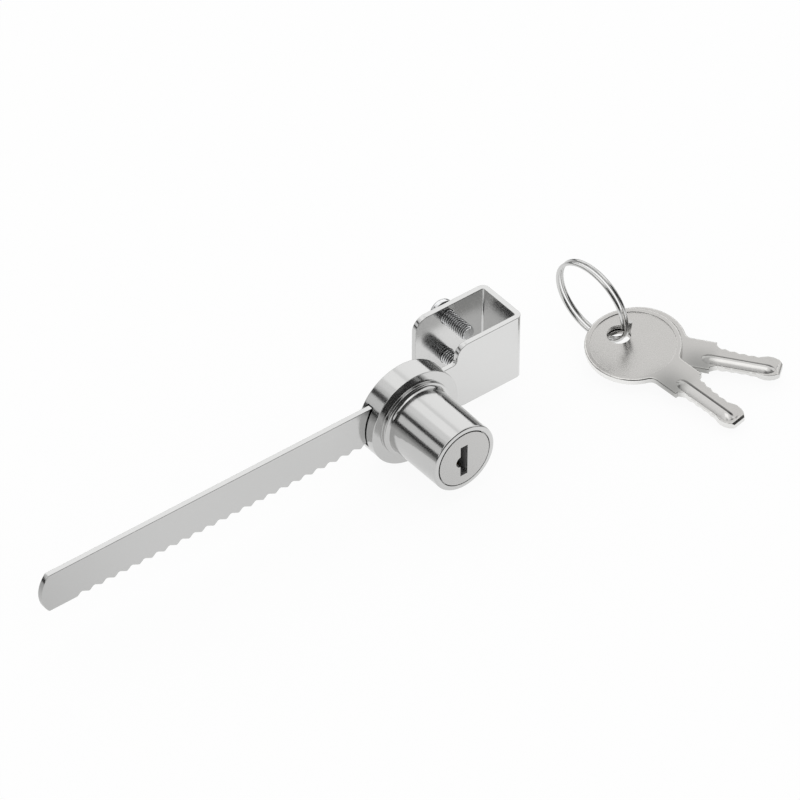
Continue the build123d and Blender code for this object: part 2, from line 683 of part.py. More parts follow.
def key_blank():
    """One key about its hole: bow with raised rim, neck, blade and rib."""
    bow_centre = KEY_HOLE_OFFSET
    shoulder = bow_centre + SHOULDER_FROM_BOW
    bow = Pos(bow_centre, 0) * Circle(BOW_RADIUS)
    neck = Pos((bow_centre + shoulder) / 2, 0) * Rectangle(shoulder - bow_centre, NECK_WIDTH)
    flat = bow + neck
    joins = [v for v in flat.vertices() if bow_centre + 1 < v.X < shoulder - 1]
    flat = fillet(joins, NECK_FILLET) if joins else flat
    flat += blade_face()
    plate = Location((0, 0, -KEY_THICKNESS)) * extrude(flat, KEY_THICKNESS)
    recess = Pos(bow_centre, 0) * Circle(BOW_RADIUS - BOW_RIM)
    plate -= Location((0, 0, -BOW_RECESS)) * extrude(recess, KEY_THICKNESS)
    plate -= Location((0, 0, BOW_RECESS - 2 * KEY_THICKNESS)) * extrude(recess, KEY_THICKNESS)
    plate -= Cylinder(KEY_HOLE_DIAMETER / 2, 4 * KEY_THICKNESS)
    return plate + key_ridge()


def biarc(start, start_way, end, end_way):
    """Two arcs that join two points with given directions."""
    chord = end - start
    ways = start_way + end_way
    a = 2 * (start_way.dot(end_way) - 1)
    b = -2 * chord.dot(ways)
    c = chord.dot(chord)
    leg = (-b - sqrt(b * b - 4 * a * c)) / (2 * a)
    middle = (start + start_way * leg + end - end_way * leg) * 0.5
    first = TangentArc(start, middle, tangent=start_way)
    second = TangentArc(middle, end, tangent=first % 1)
    return [first, second]


def ring_point(turn):
    """A point of the ring's middle line and its direction, turn in whole turns."""
    angle = 2 * pi * turn
    pitch = RING_WIRE + RING_GAP
    rise = pitch * (turn - RING_TURNS / 2)
    point = Vector(RING_RADIUS * cos(angle), RING_RADIUS * sin(angle), rise)
    way = Vector(-RING_RADIUS * sin(angle), RING_RADIUS * cos(angle), pitch / (2 * pi)).normalized()
    return point, way


def ring_frame():
    """Place of the ring: it passes through both key holes on a slant."""
    middle = key_frame(0, (KEY_THICKNESS + KEY_PITCH_STEP) / 2)
    slant = radians(RING_SLANT)
    centre = (RING_SHIFT - RING_RADIUS * cos(slant), 0, RING_RADIUS * sin(slant))
    return middle * Location(centre) * Rotation(90, 0, 0)


def split_ring():
    """The split ring: two turns of one wire, open ended."""
    steps = 4 * RING_TURNS
    arcs = []
    for step in range(steps):
        start, start_way = ring_point(step / 4)
        end, end_way = ring_point((step + 1) / 4)
        arcs += biarc(start, start_way, end, end_way)
    path = Wire(arcs)
    origin, way = ring_point(0)
    section = Plane(origin=origin, z_dir=way) * RegularPolygon(RING_WIRE / 2, RING_SIDES)
    return ring_frame() * sweep(section, path=path)


def ring_self_gap():
    """Least gap between the ring's turns, measured on points."""
    count = 120
    points = [ring_point(RING_TURNS * i / count)[0] for i in range(count + 1)]
    least = RING_RADIUS
    for i, point in enumerate(points):
        for other in points[i + count // 4:]:
            least = min(least, (point - other).length - RING_WIRE)
    return least


def save(name, shape):
    """Write one sub-part under its node's name."""
    export_step(Compound(children=shape) if isinstance(shape, list) else shape, f"parts/{name}.step")


def main():
    """Build every sub-part and write it."""
    os.makedirs("parts", exist_ok=True)
    upper, lower = screw_heights()
    save("ratchet_bar", ratchet_bar())
    save("clamp_screw_upper", clamp_screw(upper))
    save("clamp_screw_lower", clamp_screw(lower))
    save("lock_housing", lock_housing())
    save("back_cover", back_cover())
    save("cover_screws", cover_screws())
    save("lock_plug", lock_plug())
    save("drive_cam", drive_cam())
    save("cam_screw", cam_screw())
    save("lock_bolt", lock_bolt())
    save("bolt_spring", bolt_spring())
    for index in range(WAFER_COUNT):
        save(f"wafer_{index + 1}", wafer(index))
        save(f"wafer_spring_{index + 1}", wafer_spring(index))
    blank = key_blank()
    save("key_front", key_frame(0, 0) * blank)
    save("key_back", key_frame(SECOND_KEY_YAW, KEY_PITCH_STEP) * blank)
    save("split_ring", split_ring())
    print("least gap between the ring's turns", round(ring_self_gap(), 3), "mm")


main()
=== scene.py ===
"""Dress a sliding glass door lock with two keys on its CAD frame, and stand it in a plain studio.

Sizes of the pieces are millimetres and angles degrees, in the shared frame. Blender's own objects are in metres.
"""

import json
import logging
from contextlib import contextmanager
from dataclasses import dataclass
from enum import Enum
from math import cos, hypot, pi, radians, sin, tan
from typing import Callable, Iterator, Sequence

import bmesh
import bpy
from mathutils import Matrix, Vector

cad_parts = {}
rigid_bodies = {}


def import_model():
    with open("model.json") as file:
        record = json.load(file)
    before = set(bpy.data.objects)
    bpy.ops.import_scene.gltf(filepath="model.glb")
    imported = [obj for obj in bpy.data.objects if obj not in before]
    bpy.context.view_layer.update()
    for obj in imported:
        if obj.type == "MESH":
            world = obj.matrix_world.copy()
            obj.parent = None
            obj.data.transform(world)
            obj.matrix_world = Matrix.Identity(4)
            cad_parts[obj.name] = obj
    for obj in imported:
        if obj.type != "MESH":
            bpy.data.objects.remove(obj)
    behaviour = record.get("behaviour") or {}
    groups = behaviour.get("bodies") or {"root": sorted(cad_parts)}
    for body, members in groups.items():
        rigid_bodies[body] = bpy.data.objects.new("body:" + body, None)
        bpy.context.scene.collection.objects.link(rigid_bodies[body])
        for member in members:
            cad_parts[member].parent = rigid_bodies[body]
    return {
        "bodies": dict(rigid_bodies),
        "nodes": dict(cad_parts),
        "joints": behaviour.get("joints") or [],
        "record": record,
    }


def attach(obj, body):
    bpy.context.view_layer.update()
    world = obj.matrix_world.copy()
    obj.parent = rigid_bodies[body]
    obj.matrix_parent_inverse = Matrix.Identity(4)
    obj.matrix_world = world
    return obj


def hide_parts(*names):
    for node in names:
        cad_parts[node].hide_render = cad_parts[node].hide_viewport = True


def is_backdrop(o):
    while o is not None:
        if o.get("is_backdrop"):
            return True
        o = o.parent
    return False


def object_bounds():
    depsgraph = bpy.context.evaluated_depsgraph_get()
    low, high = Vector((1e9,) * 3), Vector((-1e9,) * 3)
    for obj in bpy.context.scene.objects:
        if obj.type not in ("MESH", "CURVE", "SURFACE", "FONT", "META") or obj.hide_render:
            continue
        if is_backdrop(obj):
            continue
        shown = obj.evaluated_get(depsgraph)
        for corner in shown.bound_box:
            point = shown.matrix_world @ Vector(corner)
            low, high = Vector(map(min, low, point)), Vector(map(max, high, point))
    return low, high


LOG = logging.getLogger("door_lock")
MM = 0.001
MICRON = 0.000001
IMAGE_SIDE = 800

Point = tuple[float, float, float]
Colour = tuple[float, float, float]
Range = tuple[float, float]
Outline = tuple[Range, ...]

# The lock's axis runs along Y through this point, which is on the collar's front face.
LOCK_CENTRE: Point = (-34.7, -11.5, -2.285)
# The plug's front face, as the CAD has it.
PLUG_FACE_Y = -30.0
# From a key's hole towards its blade, to the middle of its round bow.
BOW_OFFSET = 4.94


class Grain(Enum):
    """Which way the fine lines of a metal run."""

    ALONG_BAR = "along the bar"
    ACROSS_FACE = "across the turned face"
    ALONG_KEY = "along the key"
    CAST = "none, a fine cast skin"


def joining(operation: str, swapped: bool = False) -> Callable[["Sock", "Sock | float"], "Sock"]:
    """Make a method that joins two values in one Math node.

    Args:
        operation: The Math node's operation.
        swapped: True for a reflected operator, where the other value comes first.

    Returns:
        The method.
    """

    def method(self: "Sock", other: "Sock | float") -> "Sock":
        """Join both values."""
        return self.math(operation, other, self) if swapped else self.math(operation, self, other)

    return method


class Sock:
    """A node's output that takes part in plain arithmetic.

    Each operator adds one Math node to the graph that the output belongs to.
    """

    def __init__(self, graph: "Graph", socket: bpy.types.NodeSocket) -> None:
        """Wrap an output of the graph.

        Args:
            graph: The graph that new nodes are added to.
            socket: The output that is wrapped.
        """
        self.graph = graph
        self.socket = socket

    def math(self, operation: str, *values: "Sock | float") -> "Sock":
        """Join the values in one Math node.

        Args:
            operation: The Math node's operation.
            values: Its inputs, in order.

        Returns:
            The result.
        """
        node = self.graph.node("ShaderNodeMath", {"operation": operation}, dict(enumerate(values)))
        return Sock(self.graph, node.outputs[0])

    __add__, __radd__ = joining("ADD"), joining("ADD", True)
    __sub__, __rsub__ = joining("SUBTRACT"), joining("SUBTRACT", True)
    __mul__, __rmul__ = joining("MULTIPLY"), joining("MULTIPLY", True)
    __truediv__, __rtruediv__ = joining("DIVIDE"), joining("DIVIDE", True)
    __pow__, __rpow__ = joining("POWER"), joining("POWER", True)
    at_most, at_least = joining("MINIMUM"), joining("MAXIMUM")

    def cosine(self) -> "Sock":
        """Cosine of self, in radians."""
        return self.math("COSINE", self)

    def sine(self) -> "Sock":
        """Sine of self, in radians."""
        return self.math("SINE", self)

    def between(self, low: float, high: float) -> "Sock":
        """Rise smoothly from 0 at low to 1 at high.

        Args:
            low: Where the result leaves 0; it may be the larger of the two.
            high: Where the result reaches 1.

        Returns:
            A value from 0 to 1.
        """
        values = {"Value": self, "From Min": low, "From Max": high, "To Min": 0.0, "To Max": 1.0}
        node = self.graph.node("ShaderNodeMapRange", {"interpolation_type": "SMOOTHSTEP"}, values)
        return Sock(self.graph, node.outputs[0])


def distance(first: Sock, second: Sock, at_first: float, at_second: float) -> Sock:
    """Give how far two coordinates lie from a point in their plane."""
    return ((first - at_first) ** 2.0 + (second - at_second) ** 2.0) ** 0.5


def emptied(owner: "bpy.types.Material | bpy.types.World") -> bpy.types.NodeTree:
    """Give the node tree of a material or a world with nothing in it.

    Args:
        owner: The material or the world.

    Returns:
        Its empty tree.
    """
    owner.use_nodes = True
    owner.node_tree.nodes.clear()
    return owner.node_tree


class Graph:
    """A node tree with one way to add any node."""

    def __init__(self, tree: bpy.types.NodeTree) -> None:
        """Work on the given tree."""
        self.tree = tree

    def node(
        self,
        kind: str,
        settings: dict[str, object] | None = None,
        values: dict[object, object] | None = None,
    ) -> bpy.types.Node:
        """Add one node.

        Args:
            kind: The node's type.
            settings: Its properties, set before its sockets are touched.
            values: Its inputs by name or number; an output is linked, anything else is written.

        Returns:
            The new node.
        """
        made = self.tree.nodes.new(kind)
        for name, value in (settings or {}).items():
            setattr(made, name, value)
        for key, value in (values or {}).items():
            if isinstance(value, Sock):
                value = value.socket
            if isinstance(value, bpy.types.NodeSocket):
                self.tree.links.new(value, made.inputs[key])
            else:
                made.inputs[key].default_value = value
        return made

    def sock(self, node: bpy.types.Node, output: object = 0) -> Sock:
        """Wrap one output of a node."""
        return Sock(self, node.outputs[output])


class Surface(Graph):
    """The node tree of one material, with the readings that metal finishes share."""

    def __init__(self, name: str) -> None:
        """Start a material.

        Args:
            name: The material's name.
        """
        self.material = bpy.data.materials.new(name)
        super().__init__(emptied(self.material))
        values = {0: self.node("ShaderNodeTexCoord").outputs["Object"], "Scale": 1 / MM}
        self.place = self.node("ShaderNodeVectorMath", {"operation": "SCALE"}, values).outputs[0]

    def attribute(self, name: str) -> Sock:
        """Read a number kept on the mesh."""
        return self.sock(self.node("ShaderNodeAttribute", {"attribute_name": name}), "Fac")

    def attribute_place(self, name: str) -> bpy.types.NodeSocket:
        """Read a place kept on the mesh, in millimetres."""
        return self.node("ShaderNodeAttribute", {"attribute_name": name}).outputs["Vector"]

    def split(self, vector: bpy.types.NodeSocket) -> tuple[Sock, Sock, Sock]:
        """Give a vector's three numbers."""
        node = self.node("ShaderNodeSeparateXYZ", None, {0: vector})
        return self.sock(node, 0), self.sock(node, 1), self.sock(node, 2)

    def stretched(self, vector: bpy.types.NodeSocket, scale: Point) -> bpy.types.NodeSocket:
        """Scale a vector unevenly, so that a pattern on it is drawn out."""
        node = self.node("ShaderNodeVectorMath", {"operation": "MULTIPLY"}, {0: vector, 1: scale})
        return node.outputs[0]

    def noise(self, vector: bpy.types.NodeSocket, scale: float, detail: float = 3.0, roughness: float = 0.55) -> Sock:
        """Read a cloudy noise.

        Args:
            vector: Where it is read, in millimetres.
            scale: Clouds per millimetre.
            detail: Octaves of finer clouds.
            roughness: How strong the finer clouds are.

        Returns:
            A value around one half.
        """
        values = {"Vector": vector, "Scale": scale, "Detail": detail, "Roughness": roughness}
        return self.sock(self.node("ShaderNodeTexNoise", {"noise_dimensions": "3D"}, values), 0)

    def mixed(self, share: Sock, first: "Colour | bpy.types.NodeSocket", second: Colour) -> bpy.types.NodeSocket:
        """Mix two colours.

        Args:
            share: 0 for the first, 1 for the second.
            first: One colour, linear, or an output that gives it.
            second: The other colour, linear.

        Returns:
            The colour output.
        """
        start = first if isinstance(first, bpy.types.NodeSocket) else (*first, 1.0)
        settings = {"data_type": "RGBA", "clamp_factor": True}
        return self.node("ShaderNodeMix", settings, {0: share, 6: start, 7: (*second, 1.0)}).outputs[2]

    def finish(
        self, colour: bpy.types.NodeSocket, roughness: Sock, height: Sock, relief: float
    ) -> bpy.types.Material:
        """Close the material with its shader.

        Args:
            colour: Base colour.
            roughness: Roughness over the surface.
            height: Relief over the surface, in units of the relief.
            relief: Depth of the relief in metres.

        Returns:
            The material.
        """
        bump = self.node("ShaderNodeBump", None, {"Strength": 1.0, "Distance": relief, "Height": height})
        values = {"Base Color": colour, "Roughness": roughness, "Metallic": 1.0, "Normal": bump.outputs[0]}
        shader = self.node("ShaderNodeBsdfPrincipled", None, values)
        self.node("ShaderNodeOutputMaterial", None, {"Surface": shader.outputs[0]})
        return self.material


@dataclass(frozen=True)
class Metal:
    """A plated or plain metal: fine lines, cloudy gloss and rubbed edges."""

    slot: str
    colour: Colour
    rubbed: Colour
    roughness: float
    grain: Grain
    lines_per_mm: float = 9.0
    line_depth: float = 0.5 * MICRON
    cloud: float = 0.06
    cloud_per_mm: float = 0.12
    centre: Point = (0.0, 0.0, 0.0)
    drawn_out: float = 0.03
    ring_depth: float = 0.2
    specks_per_mm: float = 1.7
    rim_specks: Range = (0.35, 0.6)
    rim_share: float = 0.7
    line_dullness: float = 0.08
    dull_specks: Range = (0.62, 0.8)
    speck_dullness: float = 0.05
    least_roughness: float = 0.04

    def grain_lines(self, surface: Surface) -> Sock:
        """Read the fine lines.

        Args:
            surface: The material under way.

        Returns:
            A value around one half that runs in lines.
        """
        place = surface.place
        if self.grain is Grain.CAST:
            return surface.noise(place, self.lines_per_mm, detail=2.0)
        if self.grain is Grain.ALONG_BAR:
            place = surface.stretched(place, (self.drawn_out, 1.0, 1.0))
            return surface.noise(place, self.lines_per_mm)
        if self.grain is Grain.ALONG_KEY:
            place = surface.stretched(surface.attribute_place("own_place"), (self.drawn_out, 1.0, 1.0))
            return surface.noise(place, self.lines_per_mm)
        x, y, z = surface.split(place)
        out = distance(x, z, self.centre[0], self.centre[2])
        rings = surface.node("ShaderNodeCombineXYZ", None, {0: out, 1: y * self.ring_depth, 2: 0.0})
        return surface.noise(rings.outputs[0], self.lines_per_mm)

    def started(self) -> tuple[Surface, bpy.types.NodeSocket, Sock, Sock]:
        """Build what every metal shares.

        Returns:
            The material under way, its colour, its roughness and its relief.
        """
        surface = Surface(self.slot)
        lines = self.grain_lines(surface)
        clouds = surface.noise(surface.place, self.cloud_per_mm, detail=4.0)
        specks = surface.noise(surface.place, self.specks_per_mm, detail=5.0, roughness=0.7)
        rim = surface.attribute("rim") * specks.between(*self.rim_specks)
        colour = surface.mixed(rim * self.rim_share, self.colour, self.rubbed)
        dull = (clouds - 0.5) * self.cloud * 2.0 + (lines - 0.5) * self.line_dullness
        dull = dull + specks.between(*self.dull_specks) * self.speck_dullness
        roughness = (dull + self.roughness).at_least(self.least_roughness)
        return surface, colour, roughness, lines

    def material(self) -> bpy.types.Material:
        """Build the material."""
        surface, colour, roughness, lines = self.started()
        return surface.finish(colour, roughness, lines, self.line_depth)


@dataclass(frozen=True)
class PlugMetal(Metal):
    """The plug's satin face, dull inside the keyway, where painted shade darkens it."""

    face_y: float = 0.0
    dark: Colour = (0.42, 0.42, 0.42)
    dark_from: Range = (0.3, 0.6)
    dark_share: float = 0.8
    dark_dullness: float = 0.5

    def material(self) -> bpy.types.Material:
        """Build the material.

        Returns:
            The material.
        """
        surface, colour, roughness, lines = self.started()
        _, y, _ = surface.split(surface.place)
        # Painted shade: past the face, the keyway's walls are mixed towards a dark colour.
        depth = y.between(self.face_y + self.dark_from[0], self.face_y + self.dark_from[1])
        colour = surface.mixed(depth * self.dark_share, colour, self.dark)
        return surface.finish(colour, roughness + depth * self.dark_dullness, lines, self.line_depth)


@dataclass(frozen=True)
class HousingMetal(Metal):
    """Bright plated casting, rougher in its bore and slot, where painted shade makes it nearly black."""

    bore: float = 8.0
    inside: Colour = (0.07, 0.07, 0.07)
    bore_edge: Range = (0.1, -0.02)
    mouth: float = 0.3
    inside_dullness: float = 0.3
    peel_per_mm: float = 0.9
    peel_height: float = 6.0

    def material(self) -> bpy.types.Material:
        """Build the material.

        Returns:
            The material.
        """
        surface, colour, roughness, lines = self.started()
        x, y, z = surface.split(surface.place)
        out = distance(x, z, self.centre[0], self.centre[2])
        # Painted shade: within the bore's radius, from the collar's face towards the back, the colour turns nearly
        # black.
        bore_shade = out.between(self.bore + self.bore_edge[0], self.bore + self.bore_edge[1])
        bore_shade = bore_shade * y.between(self.centre[1], self.centre[1] + self.mouth)
        colour = surface.mixed(bore_shade, colour, self.inside)
        relief = lines + surface.noise(surface.place, self.peel_per_mm, detail=2.0) * self.peel_height
        return surface.finish(colour, roughness + bore_shade * self.inside_dullness, relief, self.line_depth)


@dataclass(frozen=True)
class ThreadedMetal(Metal):
    """Screw steel with painted shade, nearly black, in the roots between the crests of its thread."""

    root: Colour = (0.02, 0.02, 0.02)
    root_depth: Range = (0.15, 0.85)
    root_shade_share: float = 0.95
    root_dullness: float = 0.2

    def material(self) -> bpy.types.Material:
        """Build the material.

        Returns:
            The material.
        """
        surface, colour, roughness, lines = self.started()
        hollow = surface.attribute("hollow")
        # Painted shade: the deeper a point of the thread lies, the nearer black it is.
        colour = surface.mixed(hollow.between(*self.root_depth) * self.root_shade_share, colour, self.root)
        return surface.finish(colour, roughness + hollow * self.root_dullness, lines, self.line_depth)


@dataclass(frozen=True)
class KeyMetal(Metal):
    """A key: smooth rim, grained field in the bow, scuffs, painted highlight on its sides and rib, a painted shadow
    line at the rib and painted shade on the neck.
    """

    field_radius: float = 10.0
    field_offset: float = 5.0
    # The first colour paints highlight on the upright sides and rib, the second paints shade on the neck, the third
    # paints a shadow line at the rib.
    side_highlight: Colour = (0.82, 0.82, 0.81)
    shadowed: Colour = (0.30, 0.30, 0.29)
    painted_rib_shade: Colour = (0.03, 0.03, 0.03)
    field_edge: float = 0.15
    field_dullness: float = 0.07
    grit_per_mm: float = 5.5
    grit_dullness: float = 0.2
    grit_height: float = 5.0
    scuffs_per_mm: float = 1.1
    scuff_stretch: Point = (0.35, 2.6, 1.0)
    scuff_edge: Range = (0.56, 0.7)
    scuff_share: float = 0.25
    scuff_shine: float = 0.05
    side_highlight_share: float = 0.7
    rib_shade_edge: Range = (0.0, 0.7)
    rib_shade_share: float = 0.93
    neck_start: Range = (12.0, 21.0)
    neck_end: Range = (26.0, 23.0)
    neck_across: Range = (4.0, -4.0)
    neck_share: float = 0.9

    def material(self) -> bpy.types.Material:
        """Build the material.

        Returns:
            The material.
        """
        surface, colour, roughness, lines = self.started()
        own = surface.attribute_place("own_place")
        x, y, _ = surface.split(own)
        out = distance(x, y, self.field_offset, 0.0)
        field = out.between(self.field_radius, self.field_radius - self.field_edge)
        grit = surface.noise(own, self.grit_per_mm, roughness=0.7)
        drawn = surface.stretched(own, self.scuff_stretch)
        worn = surface.noise(drawn, self.scuffs_per_mm, detail=6.0, roughness=0.75).between(*self.scuff_edge)
        colour = surface.mixed(worn * self.scuff_share, colour, self.rubbed)
        # Painted highlight: the upright sides, and the rib in part, are lightened.
        colour = surface.mixed(surface.attribute("side") * self.side_highlight_share, colour, self.side_highlight)
        # Painted shadow: a nearly black line along the rib's steep side.
        painted_rib_shade = surface.attribute("ramp").between(*self.rib_shade_edge)
        colour = surface.mixed(painted_rib_shade * self.rib_shade_share, colour, self.painted_rib_shade)
        # Painted shade: the neck is darkened towards the shadowed colour.
        neck_shade = x.between(*self.neck_start) * x.between(*self.neck_end) * y.between(*self.neck_across)
        colour = surface.mixed(neck_shade * self.neck_share, colour, self.shadowed)
        roughness = roughness + field * self.field_dullness + (grit - 0.5) * field * self.grit_dullness
        relief = lines + grit * field * self.grit_height
        return surface.finish(colour, roughness - worn * self.scuff_shine, relief, self.line_depth)


@dataclass(frozen=True)
class StampedBrass(Metal):
    """Stamped brass with the shear lines of the punch."""

    tarnish: Colour = (0.42, 0.30, 0.14)
    spots_per_mm: float = 1.2
    spot_edge: Range = (0.45, 0.7)
    spot_share: float = 0.5
    spot_dullness: float = 0.1

    def material(self) -> bpy.types.Material:
        """Build the material.

        Returns:
            The material.
        """
        surface, colour, roughness, lines = self.started()
        clouds = surface.noise(surface.place, self.spots_per_mm, detail=4.0, roughness=0.6)
        spots = clouds.between(*self.spot_edge)
        colour = surface.mixed(spots * self.spot_share, colour, self.tarnish)
        return surface.finish(colour, roughness + spots * self.spot_dullness, lines, self.line_depth)


def in_metres(point: Point) -> Vector:
    """Turn millimetres into metres."""
    return Vector(point) * MM


def new_object(name: str, data: bpy.types.ID) -> bpy.types.Object:
    """Put a mesh, a light or a camera in the scene.

    Args:
        name: The object's name.
        data: What it shows.

    Returns:
        The object, at the origin.
    """
    made = bpy.data.objects.new(name, data)
    bpy.context.scene.collection.objects.link(made)
    return made


def mesh_of(name: str, work: bmesh.types.BMesh) -> bpy.types.Mesh:
    """Turn a bmesh into a mesh and free it.

    Args:
        name: The mesh's name.
        work: The bmesh.

    Returns:
        The mesh.
    """
    mesh = bpy.data.meshes.new(name)
    work.to_mesh(mesh)
    work.free()
    return mesh


@contextmanager
def opened(mesh: bpy.types.Mesh) -> Iterator[bmesh.types.BMesh]:
    """Open a mesh for changes and write them back at the end.

    Args:
        mesh: The mesh.

    Returns:
        A bmesh for the time of the changes.
    """
    work = bmesh.new()
    work.from_mesh(mesh)
    yield work
    work.to_mesh(mesh)
    work.free()


def smooth(mesh: bpy.types.Mesh, angle: float = 35.0) -> None:
    """Shade a mesh smooth apart from its sharp edges.

    Args:
        mesh: The mesh.
        angle: Edges that turn more than this many degrees stay sharp.
    """
    mesh.shade_smooth()
    mesh.set_sharp_from_angle(angle=radians(angle))


def plain_piece(source: bpy.types.Object, name: str) -> bpy.types.Object:
    """Turn an object with modifiers into a plain mesh piece.

    Args:
        source: The object; it is removed.
        name: The piece's name.

    Returns:
        The piece, at the origin, with no modifier.
    """
    graph = bpy.context.evaluated_depsgraph_get()
    seen = source.evaluated_get(graph)
    mesh = bpy.data.meshes.new_from_object(seen, preserve_all_data_layers=True, depsgraph=graph)
    bpy.data.objects.remove(source, do_unlink=True)
    piece = new_object(name, mesh)
    mesh.name = name
    return piece


def settled(source: bpy.types.Object, name: str, angle: float = 35.0) -> bpy.types.Object:
    """Shade an object so that its large flat faces stay flat up to their rounded edges.

    Args:
        source: The object; it is removed.
        name: The piece's name.
        angle: Edges that turn more than this many degrees stay sharp.

    Returns:
        A plain piece with its own normals.
    """
    smooth(source.data, angle)
    weigh = source.modifiers.new("flat_faces", "WEIGHTED_NORMAL")
    weigh.mode = "FACE_AREA"
    weigh.weight = 100
    weigh.keep_sharp = True
    return plain_piece(source, name)


def joined(name: str, first: bpy.types.Object, second: bpy.types.Object) -> bpy.types.Object:
    """Join two plain pieces into one, with their normals and numbers kept.

    Args:
        name: The name of the whole.
        first: One piece.
        second: The other piece; it is removed.

    Returns:
        The whole.
    """
    with bpy.context.temp_override(active_object=first, selected_editable_objects=[first, second]):
        bpy.ops.object.join()
    first.name = name
    first.data.name = name
    return first


def weigh_edges(mesh: bpy.types.Mesh, angle: float, share: Callable[[Vector], float]) -> None:
    """Say how far each sharp edge is rounded.

    Args:
        mesh: The mesh.
        angle: Edges that turn less than this are left, in radians.
        share: The share of the rounding by the edge's middle in metres.
    """
    with opened(mesh) as work:
        weight = work.edges.layers.float.new("bevel_weight_edge")
        for edge in work.edges:
            if edge.calc_face_angle(0.0) > angle:
                edge[weight] = share((edge.verts[0].co + edge.verts[1].co) / 2)


def weld_points(mesh: bpy.types.Mesh, reach: float) -> None:
    """Join points that cuts left too close together to round the edges between them.

    Args:
        mesh: The mesh.
        reach: Points closer than this become one, in millimetres.
    """
    with opened(mesh) as work:
        bmesh.ops.remove_doubles(work, verts=work.verts[:], dist=reach * MM)
        bmesh.ops.dissolve_degenerate(work, dist=reach * MM / 2, edges=work.edges[:])


def keep_number(
    mesh: bpy.types.Mesh, name: str, domain: str, number: Callable[[bpy.types.bpy_struct], float]
) -> None:
    """Keep a number on the mesh for its material.

    Args:
        mesh: The mesh.
        name: The number's name.
        domain: POINT or FACE.
        number: Gives the number of one vertex or one face.
    """
    kept = mesh.attributes.new(name, "FLOAT", domain)
    items = mesh.vertices if domain == "POINT" else mesh.polygons
    kept.data.foreach_set("value", [number(item) for item in items])


def mark_rims(mesh: bpy.types.Mesh) -> None:
    """Keep which faces came from rounding as a number on the mesh, and drop the second material."""
    keep_number(mesh, "rim", "FACE", lambda face: float(face.material_index))
    mesh.polygons.foreach_set("material_index", [0] * len(mesh.polygons))


def keep_own_place(piece: bpy.types.Object, frame: Matrix) -> None:
    """Keep each point's place in a piece's own frame on the mesh, in millimetres.

    Args:
        piece: The piece.
        frame: Where the piece's own frame stands, in metres.
    """
    back = frame.inverted()
    own = piece.data.attributes.new("own_place", "FLOAT_VECTOR", "POINT")
    for vertex in piece.data.vertices:
        own.data[vertex.index].vector = (back @ vertex.co) / MM


def rounded_profile(corners: Sequence[tuple[float, float, float]], steps: int = 5) -> list[tuple[float, float]]:
    """Round the corners of a closed outline.

    Args:
        corners: Each corner as radius from the axis, place along it, and rounding.
        steps: Chords in each rounding.

    Returns:
        The outline's points.
    """
    count = len(corners)
    outline: list[tuple[float, float]] = []
    for index, (r, y, rounding) in enumerate(corners):
        here = Vector((r, y))
        if rounding <= 0:
            outline.append((r, y))
            continue
        before = (Vector(corners[index - 1][:2]) - here).normalized()
        after = (Vector(corners[(index + 1) % count][:2]) - here).normalized()
        half = before.angle(after) / 2
        reach = rounding / tan(half)
        middle = here + (before + after).normalized() * (rounding / sin(half))
        start = here + before * reach - middle
        end = here + after * reach - middle
        turn = start.angle_signed(end)
        for step in range(steps + 1):
            spoke = start.copy()
            spoke.rotate(Matrix.Rotation(-turn * step / steps, 2))
            outline.append(tuple(middle + spoke))
    return outline


def turned(name: str, profile: Sequence[tuple[float, float]], x: float, z: float, sides: int = 144) -> bpy.types.Mesh:
    """Turn a closed outline about an axis along Y.

    Args:
        name: The mesh's name.
        profile: Points as radius and place along Y, in millimetres.
        x: The axis, in millimetres.
        z: The axis, in millimetres.
        sides: Faces around the axis.

    Returns:
        A closed mesh with its faces outwards, in metres.
    """
    work = bmesh.new()
    rings = []
    for side in range(sides):
        angle = 2 * pi * side / sides
        way = (cos(angle), sin(angle))
        rings.append([work.verts.new(in_metres((x + r * way[0], y, z + r * way[1]))) for r, y in profile])
    for side, ring in enumerate(rings):
        following = rings[(side + 1) % sides]
        for step in range(len(profile)):
            other = (step + 1) % len(profile)
            work.faces.new((ring[step], ring[other], following[other], following[step]))
    bmesh.ops.remove_doubles(work, verts=work.verts[:], dist=MICRON)
    bmesh.ops.recalc_face_normals(work, faces=work.faces[:])
    return mesh_of(name, work)


def block(name: str, low: Point, high: Point) -> bpy.types.Mesh:
    """Make a box mesh.

    Args:
        name: The mesh's name.
        low: Its lowest corner, in millimetres.
        high: Its highest corner, in millimetres.

    Returns:
        A closed mesh, in metres.
    """
    work = bmesh.new()
    bmesh.ops.create_cube(work, size=1.0)
    size = in_metres(high) - in_metres(low)
    middle = (in_metres(high) + in_metres(low)) / 2
    for vertex in work.verts:
        vertex.co = Vector(vertex.co[axis] * size[axis] + middle[axis] for axis in range(3))
    return mesh_of(name, work)


def prism(name: str, near: Sequence[Point], far: Sequence[Point]) -> bpy.types.Mesh:
    """Close the space between two outlines.

    Args:
        name: The mesh's name.
        near: One outline, in millimetres.
        far: The other, with as many points.

    Returns:
        A closed mesh with its faces outwards, in metres.
    """
    work = bmesh.new()
    first, last = ([work.verts.new(in_metres(point)) for point in points] for points in (near, far))
    work.faces.new(first)
    work.faces.new(last[::-1])
    for index, foot in enumerate(first):
        other = (index + 1) % len(first)
        work.faces.new((foot, last[index], last[other], first[other]))
    bmesh.ops.recalc_face_normals(work, faces=work.faces[:])
    return mesh_of(name, work)


def rod(name: str, x: float, z: float, radius: float, start: float, end: float, sides: int = 48) -> bpy.types.Mesh:
    """Make a round rod along Y, in millimetres."""
    return turned(name, [(0, start), (radius, start), (radius, end), (0, end)], x, z, sides)


